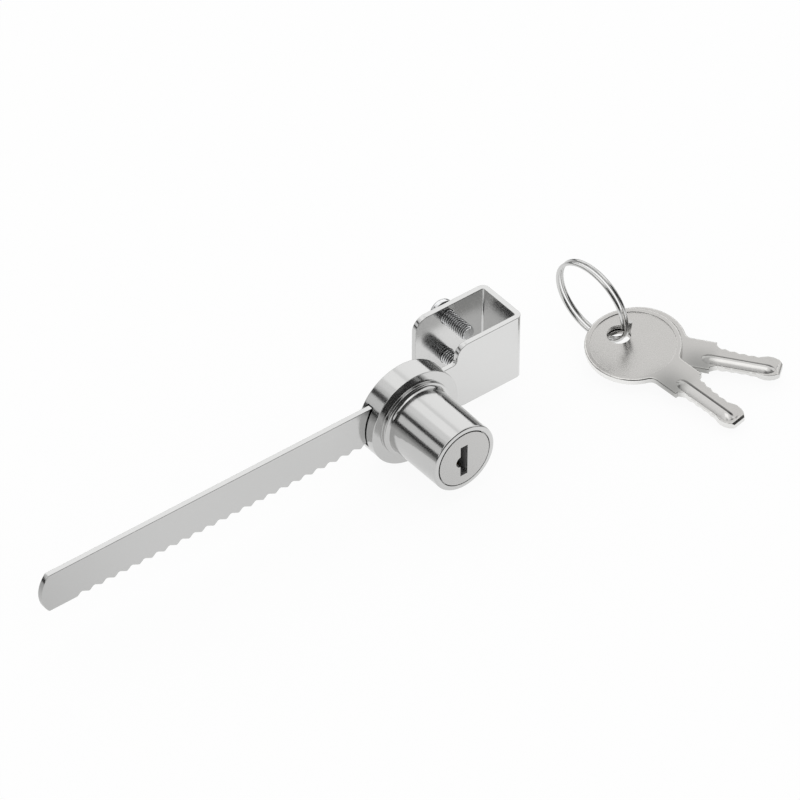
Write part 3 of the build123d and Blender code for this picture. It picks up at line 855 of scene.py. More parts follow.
def cut_away(source: bpy.types.Object, cutters: Sequence[bpy.types.Mesh]) -> None:
    """Cut meshes out of an object, one modifier for each.

    Args:
        source: The object that is cut.
        cutters: The meshes that are taken away.
    """
    for mesh in cutters:
        tool = new_object(f"cutter_{mesh.name}", mesh)
        cut = source.modifiers.new(mesh.name, "BOOLEAN")
        cut.operation = "DIFFERENCE"
        cut.solver = "EXACT"
        cut.object = tool


def clear_cutters() -> None:
    """Remove the objects that cuts were made with."""
    for tool in [o for o in bpy.data.objects if o.name.startswith("cutter_")]:
        bpy.data.objects.remove(tool, do_unlink=True)


class Bench:
    """Where pieces get their finish and their body, and stand in for their CAD nodes.

    Edges that turn by rounded_from degrees are rounded, and those that turn by sharp_from stay sharp.
    """

    rounded_from: float = 32.0
    sharp_from: float = 50.0

    def __init__(self, frame: dict) -> None:
        """Read the frame.
        """
        self.nodes: dict[str, bpy.types.Object] = frame["nodes"]
        self.slots = {part["node"]: part["material_slot"] for part in frame["record"]["subparts"]}
        self.body_of = {node: body for body, members in BODY_NODES.items() for node in members}
        self.materials = {metal.slot: metal.material() for metal in METALS}

    def fit(self, piece: bpy.types.Object, *nodes: str) -> None:
        """Dress a piece, set it on its body and let it stand for its nodes.

        Args:
            piece: The finished piece.
            nodes: The CAD nodes that it stands for, all on one body and of one finish.
        """
        slot = self.slots[nodes[0]]
        piece.data.materials.clear()
        piece.data.materials.append(self.materials[slot])
        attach(piece, self.body_of[nodes[0]])
        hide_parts(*nodes)
        LOG.info("%s stands for %s on %s", piece.name, ", ".join(nodes), self.body_of[nodes[0]])

    def copy(self, node: str, name: str) -> bpy.types.Object:
        """Copy a node's mesh, with its loose triangles joined.

        Args:
            node: The CAD node.
            name: The copy's name.

        Returns:
            An object with the joined mesh.
        """
        work = bmesh.new()
        work.from_mesh(self.nodes[node].data)
        bmesh.ops.remove_doubles(work, verts=work.verts[:], dist=2 * MICRON)
        bmesh.ops.dissolve_limit(
            work, angle_limit=radians(0.6), use_dissolve_boundaries=False, verts=work.verts[:], edges=work.edges[:]
        )
        return new_object(name, mesh_of(name, work))

    def rounded(
        self,
        node: str,
        name: str,
        width: float,
        shape: Callable[[bpy.types.Mesh], None] | None = None,
        cuts: Sequence[bpy.types.Mesh] = (),
        share: Callable[[Vector], float] = lambda place: 1.0,
        steps: int = 2,
        weld: float = 0.0,
    ) -> bpy.types.Object:
        """Copy a node and round its edges.

        Args:
            node: The CAD node.
            name: The piece's name.
            width: Rounding in millimetres.
            shape: A change to the mesh before the edges are rounded.
            cuts: Meshes that are taken away before the edges are rounded.
            share: How much of the rounding an edge gets, from 0 to 1, by its middle in metres.
            steps: Faces across each rounding.
            weld: Points closer than this after the cuts become one, in millimetres.

        Returns:
            A plain piece, not yet on a body.
        """
        source = self.copy(node, name + "_blank")
        if shape:
            shape(source.data)
        for index in range(2):
            source.data.materials.append(bpy.data.materials.new(f"{name}_{index}"))
        if cuts:
            cut_away(source, cuts)
            source = plain_piece(source, name + "_cut")
            clear_cutters()
        if weld:
            weld_points(source.data, weld)
        bevel = source.modifiers.new("rounding", "BEVEL")
        bevel.width = width * MM
        bevel.segments = steps
        bevel.limit_method = "WEIGHT"
        weigh_edges(source.data, radians(self.rounded_from), share)
        bevel.material = 1
        bevel.use_clamp_overlap = not weld
        piece = plain_piece(source, name + "_rounded")
        mark_rims(piece.data)
        return settled(piece, name, self.sharp_from)


BODY_NODES = {
    "bar": ("ratchet_bar",),
    "screw_upper": ("clamp_screw_upper",),
    "screw_lower": ("clamp_screw_lower",),
    "lock": ("lock_housing", "back_cover", "cover_screws", "bolt_spring"),
    "plug": ("lock_plug", "drive_cam", "cam_screw", *(f"wafer_spring_{n}" for n in range(1, 6))),
    "bolt": ("lock_bolt",),
    **{f"wafer_{n}": (f"wafer_{n}",) for n in range(1, 6)},
    "ring": ("split_ring",),
    "key_front": ("key_front",),
    "key_back": ("key_back",),
}

METALS: tuple[Metal, ...] = (
    Metal("bar_nickel", (0.60, 0.60, 0.595), (0.70, 0.70, 0.69), 0.15, Grain.ALONG_BAR),
    HousingMetal(
        "lock_chrome", (0.565, 0.565, 0.56), (0.66, 0.66, 0.65), 0.14, Grain.CAST, 2.2, 0.35 * MICRON,
        0.03, centre=LOCK_CENTRE,
    ),
    PlugMetal(
        "plug_satin", (0.50, 0.497, 0.49), (0.66, 0.66, 0.65), 0.26, Grain.ACROSS_FACE, 7.0, 1.2 * MICRON,
        0.04, centre=LOCK_CENTRE, face_y=PLUG_FACE_Y,
    ),
    ThreadedMetal(
        "screw_steel", (0.72, 0.725, 0.73), (0.78, 0.78, 0.78), 0.18, Grain.CAST, 4.0, 0.6 * MICRON, 0.08, 0.5
    ),
    Metal("inner_steel", (0.42, 0.42, 0.41), (0.56, 0.56, 0.55), 0.32, Grain.CAST, 5.0, 0.8 * MICRON, 0.08, 0.5),
    Metal("spring_steel", (0.40, 0.40, 0.41), (0.5, 0.5, 0.5), 0.25, Grain.CAST, 6.0, 0.4 * MICRON, 0.05, 0.8),
    StampedBrass(
        "wafer_brass", (0.76, 0.58, 0.28), (0.85, 0.70, 0.42), 0.3, Grain.ALONG_BAR, 8.0, 0.8 * MICRON, 0.06, 0.6
    ),
    KeyMetal(
        "key_nickel", (0.54, 0.53, 0.515), (0.74, 0.73, 0.71), 0.20, Grain.ALONG_KEY, 8.0, 0.4 * MICRON, 0.05,
        0.25, drawn_out=0.05, field_radius=10.85, field_offset=BOW_OFFSET,
    ),
    Metal("ring_nickel", (0.58, 0.58, 0.572), (0.68, 0.68, 0.67), 0.15, Grain.CAST, 5.0, 0.3 * MICRON, 0.04, 0.5),
)


class GeometryTree(Graph):
    """A geometry tree with named inputs that ends in real geometry with its finish."""

    def __init__(self, name: str, inputs: dict[str, Sequence[str]]) -> None:
        """Start the tree.

        Args:
            name: The tree's name.
            inputs: The names of its inputs, by the kind of their sockets.
        """
        super().__init__(bpy.data.node_groups.new(name, "GeometryNodeTree"))
        self.ids: dict[str, str] = {}
        face = self.tree.interface
        face.new_socket("Geometry", in_out="INPUT", socket_type="NodeSocketGeometry")
        for kind, labels in {**inputs, "Material": ("Finish",)}.items():
            for label in labels:
                made = face.new_socket(label, in_out="INPUT", socket_type=f"NodeSocket{kind}")
                self.ids[label] = made.identifier
        face.new_socket("Geometry", in_out="OUTPUT", socket_type="NodeSocketGeometry")
        inlet = self.node("NodeGroupInput")
        self.given = {label: self.sock(inlet, label) for label in ("Geometry", *self.ids)}

    def close(self, shape: bpy.types.Node) -> None:
        """End the tree.

        Args:
            shape: The node whose first output is the finished shape.
        """
        real = self.node("GeometryNodeRealizeInstances", None, {0: shape.outputs[0]})
        values = {0: real.outputs[0], "Material": self.given["Finish"]}
        dressed = self.node("GeometryNodeSetMaterial", None, values)
        self.node("NodeGroupOutput", None, {0: dressed.outputs[0]})

    def run(self, name: str, values: dict[str, object], points: Sequence[Point] = ()) -> bpy.types.Object:
        """Run the tree once.

        Args:
            name: The piece's name.
            values: The inputs by name.
            points: The points that it starts from, in millimetres.

        Returns:
            A plain piece, not yet on a body.
        """
        mesh = bpy.data.meshes.new(name)
        mesh.from_pydata([in_metres(point) for point in points], [], [])
        source = new_object(name + "_start", mesh)
        modifier = source.modifiers.new("shape", "NODES")
        modifier.node_group = self.tree
        for label, value in values.items():
            modifier[self.ids[label]] = value
        return plain_piece(source, name)


class WoundWire(GeometryTree):
    """A geometry tree that winds round wire into turns about Z."""

    def __init__(self) -> None:
        """Build the tree once; every coil is one modifier with its own sizes."""
        sizes, counts = ("Radius", "Height", "Turns", "Wire radius"), ("Steps per turn", "Wire sides")
        super().__init__("wound_wire", {"Float": sizes, "Int": counts})
        given = self.given
        values = {
            "Resolution": given["Steps per turn"],
            "Rotations": given["Turns"],
            "Start Radius": given["Radius"],
            "End Radius": given["Radius"],
            "Height": given["Height"],
        }
        spiral = self.node("GeometryNodeCurveSpiral", None, values)
        values = {"Resolution": given["Wire sides"], "Radius": given["Wire radius"]}
        section = self.node("GeometryNodeCurvePrimitiveCircle", None, values)
        values = {"Curve": spiral.outputs[0], "Profile Curve": section.outputs[0], "Fill Caps": True}
        self.close(self.node("GeometryNodeCurveToMesh", None, values))

    def coil(
        self, name: str, radius: float, height: float, turns: float, wire: float, place: Matrix,
        steps: int, sides: int,
    ) -> bpy.types.Object:
        """Wind one coil.

        Args:
            name: The piece's name.
            radius: Radius of the wire's middle line, in millimetres.
            height: How far the middle line rises, in millimetres.
            turns: How many turns it has.
            wire: Diameter of the wire, in millimetres.
            place: Where the coil's foot and axis stand, in metres.
            steps: Chords in each turn.
            sides: Sides of the wire's section.

        Returns:
            A plain piece, not yet on a body.
        """
        sizes = {"Radius": radius * MM, "Height": height * MM, "Turns": float(turns), "Wire radius": wire / 2 * MM}
        piece = self.run(name, {**sizes, "Steps per turn": steps, "Wire sides": sides})
        piece.data.transform(place)
        with opened(piece.data) as work:
            bmesh.ops.recalc_face_normals(work, faces=work.faces[:])
        smooth(piece.data, angle=50.0)
        return piece


class ScrewThread(GeometryTree):
    """A geometry tree that cuts a helical thread on a rod along Y."""

    def __init__(self, flat: float = 0.12, flank: float = 0.76) -> None:
        """Build the tree; a grid is rolled up and its radius follows the thread.

        Args:
            flat: Share of half a turn that the root stays flat.
            flank: Share of half a turn that the slope takes up.
        """
        sizes = ("Radius", "Thread depth", "Pitch", "Length", "Runout")
        super().__init__("screw_thread", {"Float": sizes, "Int": ("Sides", "Rows")})
        given = self.given
        length = given["Length"]
        values = {"Size X": 1.0, "Size Y": length, "Vertices X": given["Sides"], "Vertices Y": given["Rows"]}
        grid = self.node("GeometryNodeMeshGrid", None, values)
        where = self.node("ShaderNodeSeparateXYZ", None, {0: self.node("GeometryNodeInputPosition").outputs[0]})
        turn = self.sock(where, 0) + 0.5
        along = self.sock(where, 1) + length * 0.5
        wave = turn.math("PINGPONG", along / given["Pitch"] - turn, 0.5) * 2.0
        crest = ((wave - flat) / flank).at_least(0.0).at_most(1.0)
        fade = (along / given["Runout"]).at_most((length - along) / given["Runout"]).at_least(0.0).at_most(1.0)
        root = given["Thread depth"] * (1.0 - crest)
        lean = given["Thread depth"] * (1.0 - fade)
        out = given["Radius"] - root.at_least(lean)
        angle = turn * (2 * pi)
        values = {0: out * angle.cosine(), 1: along, 2: out * angle.sine()}
        place = self.node("ShaderNodeCombineXYZ", None, values)
        moved = self.node("GeometryNodeSetPosition", None, {0: grid.outputs[0], "Position": place.outputs[0]})
        self.close(self.node("GeometryNodeMergeByDistance", None, {0: moved.outputs[0], "Distance": MICRON}))

    def shank(
        self, name: str, radius: float, depth: float, pitch: float, length: float, start: Point,
        runout: float = 0.6, sides: int = 41, rows_per_turn: int = 12,
    ) -> bpy.types.Object:
        """Cut one threaded shank.

        Args:
            name: The object's name.
            radius: Outer radius in millimetres.
            depth: Depth of the thread in millimetres.
            pitch: Rise of one turn in millimetres.
            length: Length in millimetres.
            start: Where the shank starts; it runs towards +Y.
            runout: Length over which the thread fades in and out, in millimetres.
            sides: Points around the shank.
            rows_per_turn: Rows of points in each turn of the thread.

        Returns:
            An open tube, closed later by its ends.
        """
        sizes = {"Radius": radius, "Thread depth": depth, "Pitch": pitch, "Length": length, "Runout": runout}
        counts = {"Sides": sides, "Rows": int(length / pitch * rows_per_turn)}
        piece = self.run(name, {**{label: size * MM for label, size in sizes.items()}, **counts})
        piece.data.transform(Matrix.Translation(in_metres(start)))
        return piece


class PointSetter(GeometryTree):
    """A geometry tree that sets one shape on each point of a mesh."""

    def __init__(self) -> None:
        """Build the tree."""
        super().__init__("set_on_points", {"Object": ("Shape",), "Float": ("Turn",)})
        shape = self.node("GeometryNodeObjectInfo", None, {"Object": self.given["Shape"]})
        angle = self.sock(self.node("GeometryNodeInputIndex")) * self.given["Turn"]
        turn = self.node("ShaderNodeCombineXYZ", None, {1: angle})
        points = self.node("GeometryNodeMeshToPoints", None, {0: self.given["Geometry"]})
        values = {"Points": points.outputs[0], "Instance": shape.outputs["Geometry"], "Rotation": turn.outputs[0]}
        self.close(self.node("GeometryNodeInstanceOnPoints", None, values))

    def set_on(self, name: str, shape: bpy.types.Object, points: Sequence[Point], turn: float) -> bpy.types.Object:
        """Set a shape on each point.

        Args:
            name: The piece's name.
            shape: The shape, about the origin; it is removed.
            points: The places, in millimetres.
            turn: Turn from one shape to the next, in radians.

        Returns:
            A plain piece, not yet on a body.
        """
        piece = self.run(name, {"Shape": shape, "Turn": turn}, points)
        bpy.data.objects.remove(shape, do_unlink=True)
        return piece


@dataclass
class GlassBar:
    """The toothed bar and its clamp, bent from one strip."""

    rounding: float = 0.16

    def build(self, bench: Bench) -> None:
        """Make the bar's piece."""
        piece = bench.rounded("ratchet_bar", "toothed_bar", self.rounding)
        bench.fit(piece, "ratchet_bar")


@dataclass
class ClampScrews:
    """The two pan-head screws in the clamp's back wall."""

    place_x: float = -11.2
    heights: tuple[float, float] = (6.4, -6.4)
    tip_y: float = -2.05
    length: float = 10.0
    radius: float = 1.97
    thread_depth: float = 0.38
    pitch: float = 0.7
    head_radius: float = 3.6
    head_height: float = 2.4
    recess_depth: float = 1.3
    recess_width: float = 0.85
    recess_reach: float = 2.1
    recess_past: float = 0.3
    recess_taper: tuple[float, float] = (0.45, 0.75)
    crest_start: float = 0.3
    root_length: float = 0.4
    root_inset: float = 0.2
    seat_rounding: float = 0.12
    dome_edge: tuple[float, float] = (0.55, 1.1)
    dome_top: tuple[float, float] = (0.62, 2.2)

    def head_mesh(self, name: str, height: float) -> bpy.types.Mesh:
        """Turn the domed head.

        Args:
            name: The mesh's name.
            height: The screw's place along Z, in millimetres.

        Returns:
            A closed mesh.
        """
        seat = self.tip_y + self.length
        corners = [
            (0.0, seat - self.root_length, 0.0),
            (self.radius - self.root_inset, seat - self.root_length, 0.0),
            (self.radius - self.root_inset, seat, 0.0),
            (self.head_radius, seat, self.seat_rounding),
            (self.head_radius, seat + self.dome_edge[0] * self.head_height, self.dome_edge[1]),
            (self.dome_top[0] * self.head_radius, seat + self.head_height, self.dome_top[1]),
            (0.0, seat + self.head_height, 0.0),
        ]
        return turned(name, rounded_profile(corners, steps=7), self.place_x, height, sides=96)

    def recess(self, name: str, height: float) -> list[bpy.types.Mesh]:
        """Make the two bars of the cross recess, narrowing with depth.

        Args:
            name: The screw's name.
            height: Its place along Z, in millimetres.

        Returns:
            Two closed meshes.
        """
        top = self.tip_y + self.length + self.head_height + self.recess_past
        bars = []
        for turn in (0, 1):
            work = bmesh.new()
            bmesh.ops.create_cube(work, size=1.0)
            for vertex in work.verts:
                deep = vertex.co.y < 0
                reach = self.recess_reach * (self.recess_taper[0] if deep else 1.0)
                half = self.recess_width / 2 * (self.recess_taper[1] if deep else 1.0)
                along = vertex.co.x * 2 * reach
                across = vertex.co.z * 2 * half
                x, z = (along, across) if turn == 0 else (-across, along)
                y = top - self.recess_past - self.recess_depth if deep else top
                vertex.co = in_metres((self.place_x + x, y, height + z))
            bmesh.ops.recalc_face_normals(work, faces=work.faces[:])
            bars.append(mesh_of(f"{name}_cross_{turn}", work))
        return bars

    def mark_hollows(self, piece: bpy.types.Object, height: float) -> None:
        """Keep how deep each point of the thread lies on the mesh, from 0 to 1.

        Args:
            piece: The screw.
            height: Its place along Z, in millimetres.
        """

        def depth(vertex: bpy.types.MeshVertex) -> float:
            """Say how deep a point lies.

            Args:
                vertex: The point.

            Returns:
                0 on a crest and off the thread, and 1 in a root.
            """
            x, y, z = (value / MM for value in vertex.co)
            deep = (self.radius - hypot(x - self.place_x, z - height)) / self.thread_depth
            on_thread = self.tip_y + self.crest_start < y < self.tip_y + self.length
            return min(max(deep, 0.0), 1.0) if on_thread else 0.0

        keep_number(piece.data, "hollow", "POINT", depth)

    def build_one(self, bench: Bench, thread: ScrewThread, name: str, node: str, height: float) -> None:
        """Make one screw.

        Args:
            bench: Where it is dressed.
            thread: The tree that cuts its thread.
            name: The piece's name.
            node: The CAD node that it stands for.
            height: Its place along Z, in millimetres.
        """
        head = new_object(name + "_head", self.head_mesh(name + "_head", height))
        cut_away(head, self.recess(name, height))
        head = plain_piece(head, name + "_head")
        clear_cutters()
        shank = thread.shank(
            name, self.radius, self.thread_depth, self.pitch, self.length, (self.place_x, self.tip_y, height)
        )
        work = bmesh.new()
        work.from_mesh(shank.data)
        bmesh.ops.holes_fill(work, edges=[edge for edge in work.edges if edge.is_boundary])
        bmesh.ops.recalc_face_normals(work, faces=work.faces[:])
        work.from_mesh(head.data)
        bpy.data.objects.remove(head, do_unlink=True)
        bpy.data.objects.remove(shank, do_unlink=True)
        whole = new_object(name + "_whole", mesh_of(name, work))
        self.mark_hollows(whole, height)
        bench.fit(settled(whole, name, angle=40.0), node)

    def build(self, bench: Bench) -> None:
        """Make both screws.

        Args:
            bench: Where pieces are dressed.
        """
        thread = ScrewThread()
        for name, height in zip(("upper", "lower"), self.heights):
            self.build_one(bench, thread, f"clamp_screw_{name}_threaded", f"clamp_screw_{name}", height)


@dataclass
class Housing:
    """The turned lock housing with its bore, slot and cover."""

    x: float = LOCK_CENTRE[0]
    z: float = LOCK_CENTRE[2]
    nose_y: float = -29.75
    collar_y: float = LOCK_CENTRE[1]
    disc_front_y: float = -10.6
    disc_back_y: float = -4.6
    cover_y: float = -5.95
    slot_front_y: float = -8.1
    shoulder_y: float = -27.95
    web_front_y: float = -11.8
    web_back_y: float = -11.1
    disc_radius: float = 13.29
    collar_radius: float = 10.45
    barrel_radius: float = 9.35
    nose_radius: float = 9.3
    head_bore: float = 7.95
    body_bore: float = 6.25
    tail_bore: float = 3.5
    cam_room: float = 5.6
    cover_seat: float = 12.05
    lip: float = 0.18
    back_edge: float = 0.3
    collar_root: float = 0.12
    collar_edge: float = 0.14
    mouth_edge: float = 0.1
    cover_edge: float = 0.12
    screw_edge: float = 0.06
    collar_fillet: float = 0.95
    nose_edge: float = 0.42
    bar_z: float = -0.835
    slot_half: float = 5.95
    bolt_half: float = 4.05
    arm_floor: float = -10.035
    well_floor: float = -14.035
    channel_half: float = 3.6
    channel_reach: float = 7.1
    channel_start: float = -26.7
    channel_end: float = -14.5
    screw_circle: float = 9.7
    screw_angles: tuple[float, ...] = (90.0, -45.0, -135.0)
    screw_head: float = 1.76
    screw_radius: float = 0.95
    screw_length: float = 3.5
    cover_top_y: float = -5.05
    cross_long: float = 1.15
    cross_wide: float = 0.2
    cross_deep: float = 0.7
    cross_past: float = 0.3
    screw_turn: float = 0.9
    screw_play: float = 0.1
    cut_past: float = 0.03
    slot_past: float = 1.0

    def outline(self) -> list[tuple[float, float]]:
        """Give the closed outline that the housing is turned from.

        Returns:
            Its points as radius and place along Y.
        """
        corners = [
            (self.disc_radius, self.disc_back_y, self.back_edge),
            (self.disc_radius, self.disc_front_y, self.lip),
            (self.collar_radius, self.disc_front_y, self.collar_root),
            (self.collar_radius, self.collar_y, self.collar_edge),
            (self.barrel_radius, self.collar_y, self.collar_fillet),
            (self.nose_radius, self.nose_y, self.nose_edge),
            (self.head_bore, self.nose_y, self.mouth_edge),
            (self.head_bore, self.shoulder_y, 0.0),
            (self.body_bore, self.shoulder_y, 0.0),
            (self.body_bore, self.web_front_y, 0.0),
            (self.tail_bore, self.web_front_y, 0.0),
            (self.tail_bore, self.web_back_y, 0.0),
            (self.cam_room, self.web_back_y, 0.0),
            (self.cam_room, self.cover_y, 0.0),
            (self.cover_seat, self.cover_y, 0.0),
            (self.cover_seat, self.disc_back_y, self.mouth_edge),
        ]
        return rounded_profile(corners, steps=6)

    def screw_places(self) -> list[tuple[float, float]]:
        """Give the cover screws' centres in X and Z."""
        turns = [radians(angle) for angle in self.screw_angles]
        return [(self.x + self.screw_circle * cos(t), self.z + self.screw_circle * sin(t)) for t in turns]

    def cutters(self) -> list[bpy.types.Mesh]:
        """Make what is cut out of the turned blank.

        Returns:
            Closed meshes.
        """
        past = self.cover_y + self.cut_past
        reach = self.disc_radius + self.slot_past
        left, right = self.x - self.bolt_half, self.x + self.bolt_half
        meshes = [
            block(
                "bar_slot",
                (self.x - reach, self.slot_front_y, self.bar_z - self.slot_half),
                (self.x + reach, past, self.bar_z + self.slot_half),
            ),
            block("arm_channel", (left, self.web_back_y, self.arm_floor), (right, past, self.z)),
            block("bolt_well", (left, self.slot_front_y, self.well_floor), (right, past, self.z)),
            block(
                "wafer_channel",
                (self.x - self.channel_half, self.channel_start, self.z - self.channel_reach),
                (self.x + self.channel_half, self.channel_end, self.z + self.channel_reach),
            ),
        ]
        for index, (x, z) in enumerate(self.screw_places()):
            start = self.cover_top_y - self.screw_length - self.screw_play
            meshes.append(rod(f"cover_screw_bore_{index}", x, z, self.screw_radius + self.screw_play, start, past))
        return meshes

    def build_body(self, bench: Bench) -> None:
        """Turn and cut the housing.

        Args:
            bench: Where it is dressed.
        """
        source = new_object("housing_blank", turned("housing_blank", self.outline(), self.x, self.z, sides=160))
        cut_away(source, self.cutters())
        piece = settled(plain_piece(source, "housing_cut"), "housing_body", angle=30.0)
        clear_cutters()
        bench.fit(piece, "lock_housing")

    def screw_shape(self) -> bpy.types.Object:
        """Make one countersunk screw about the origin, its head's face at Y 0.

        Returns:
            A plain piece.
        """
        cone = self.screw_head - self.screw_radius
        corners = [
            (0.0, -self.screw_length, 0.0),
            (self.screw_radius, -self.screw_length, 0.0),
            (self.screw_radius, -cone, 0.0),
            (self.screw_head, 0.0, self.screw_edge),
            (0.0, 0.0, 0.0),
        ]
        shape = new_object("screw_shape", turned("screw_shape", rounded_profile(corners, steps=3), 0, 0, sides=32))
        halves = ((self.cross_long, self.cross_wide), (self.cross_wide, self.cross_long))
        cut_away(shape, [
            block(f"cross_{turn}", (-x, -self.cross_deep, -z), (x, self.cross_past, z))
            for turn, (x, z) in enumerate(halves)
        ])
        shape = plain_piece(shape, "screw_shape")
        clear_cutters()
        return shape

    def build_screws(self, bench: Bench) -> None:
        """Set the cover screws.

        Args:
            bench: Where they are dressed.
        """
        points = [(x, self.cover_top_y, z) for x, z in self.screw_places()]
        piece = PointSetter().set_on("cover_screws_crossed", self.screw_shape(), points, self.screw_turn)
        smooth(piece.data)
        bench.fit(piece, "cover_screws")

    def build(self, bench: Bench) -> None:
        """Make the housing, its cover and the cover's screws.

        Args:
            bench: Where pieces are dressed.
        """
        self.build_body(bench)
        bench.fit(bench.rounded("back_cover", "cover_plate", self.cover_edge), "back_cover")
        self.build_screws(bench)


@dataclass
class PlugAndWafers:
    """The plug with its cam, wafers and springs, and the bolt below.

    Each of the plates is a node, the name of its piece and the rounding of its edges.
    """

    x: float = LOCK_CENTRE[0]
    z: float = LOCK_CENTRE[2]
    face_y: float = PLUG_FACE_Y
    shoulder_y: float = -28.0
    seen_radius: float = 7.68
    seen_face_y: float = -29.82
    head_radius: float = 7.9
    wafer_count: int = 5
    first_wafer: float = 4.2
    wafer_pitch: float = 2.6
    spring_x: float = -30.55
    spring_radius: float = 0.33
    spring_wire: float = 0.14
    spring_length: float = 2.6
    spring_turns: int = 8
    lug_half: float = 0.5
    bolt_spring_y: float = -7.1
    bolt_spring_foot: float = -14.035
    bolt_spring_length: float = 2.2
    bolt_spring_radius: float = 0.8
    bolt_spring_wire: float = 0.32
    bolt_spring_turns: int = 4
    bolt_spring_lift: float = 0.17
    gap_reach: float = 0.4
    plug_edge: float = 0.07
    wafer_edge: float = 0.05
    plates: tuple[tuple[str, str, float], ...] = (
        ("drive_cam", "cam_plate", 0.08),
        ("cam_screw", "cam_screw_head", 0.1),
        ("lock_bolt", "toothed_bolt", 0.1),
    )

    def shrink_head(self, mesh: bpy.types.Mesh) -> None:
        """Leave the thin dark gap around the plug's head.

        Args:
            mesh: The joined copy of the plug.
        """
        for vertex in mesh.vertices:
            x, y, z = (value / MM for value in vertex.co)
            out = hypot(x - self.x, z - self.z)
            share = 1.0
            if y < self.shoulder_y + 0.01 and out > self.seen_radius - self.gap_reach:
                share = (out - self.head_radius + self.seen_radius) / out
            x, z = self.x + (x - self.x) * share, self.z + (z - self.z) * share
            vertex.co = in_metres((x, max(y, self.seen_face_y), z))

    def build(self, bench: Bench, wire: WoundWire) -> None:
        """Make the plug and everything inside the housing.

        Args:
            bench: Where pieces are dressed.
            wire: The tree that winds springs.
        """
        bench.fit(bench.rounded("lock_plug", "key_plug", self.plug_edge, self.shrink_head), "lock_plug")
        for node, name, edge in self.plates:
            bench.fit(bench.rounded(node, name, edge), node)
        for number in range(1, self.wafer_count + 1):
            wafer = bench.rounded(f"wafer_{number}", f"wafer_plate_{number}", self.wafer_edge)
            bench.fit(wafer, f"wafer_{number}")
            y = self.face_y + self.first_wafer + (number - 1) * self.wafer_pitch
            upward = number % 2 == 1
            z = self.z - self.lug_half - self.spring_length if upward else self.z + self.lug_half
            place = Matrix.Translation(in_metres((self.spring_x, y, z + self.spring_wire / 2)))
            rise = self.spring_length - self.spring_wire
            coil = wire.coil(
                f"wafer_coil_{number}", self.spring_radius, rise, self.spring_turns, self.spring_wire, place,
                steps=14, sides=6,
            )
            bench.fit(coil, f"wafer_spring_{number}")
        foot = (self.x, self.bolt_spring_y, self.bolt_spring_foot + self.bolt_spring_lift)
        rise = self.bolt_spring_length - 2 * self.bolt_spring_lift
        coil = wire.coil(
            "bolt_coil", self.bolt_spring_radius, rise, self.bolt_spring_turns, self.bolt_spring_wire,
            Matrix.Translation(in_metres(foot)), steps=28, sides=10,
        )
        bench.fit(coil, "bolt_spring")


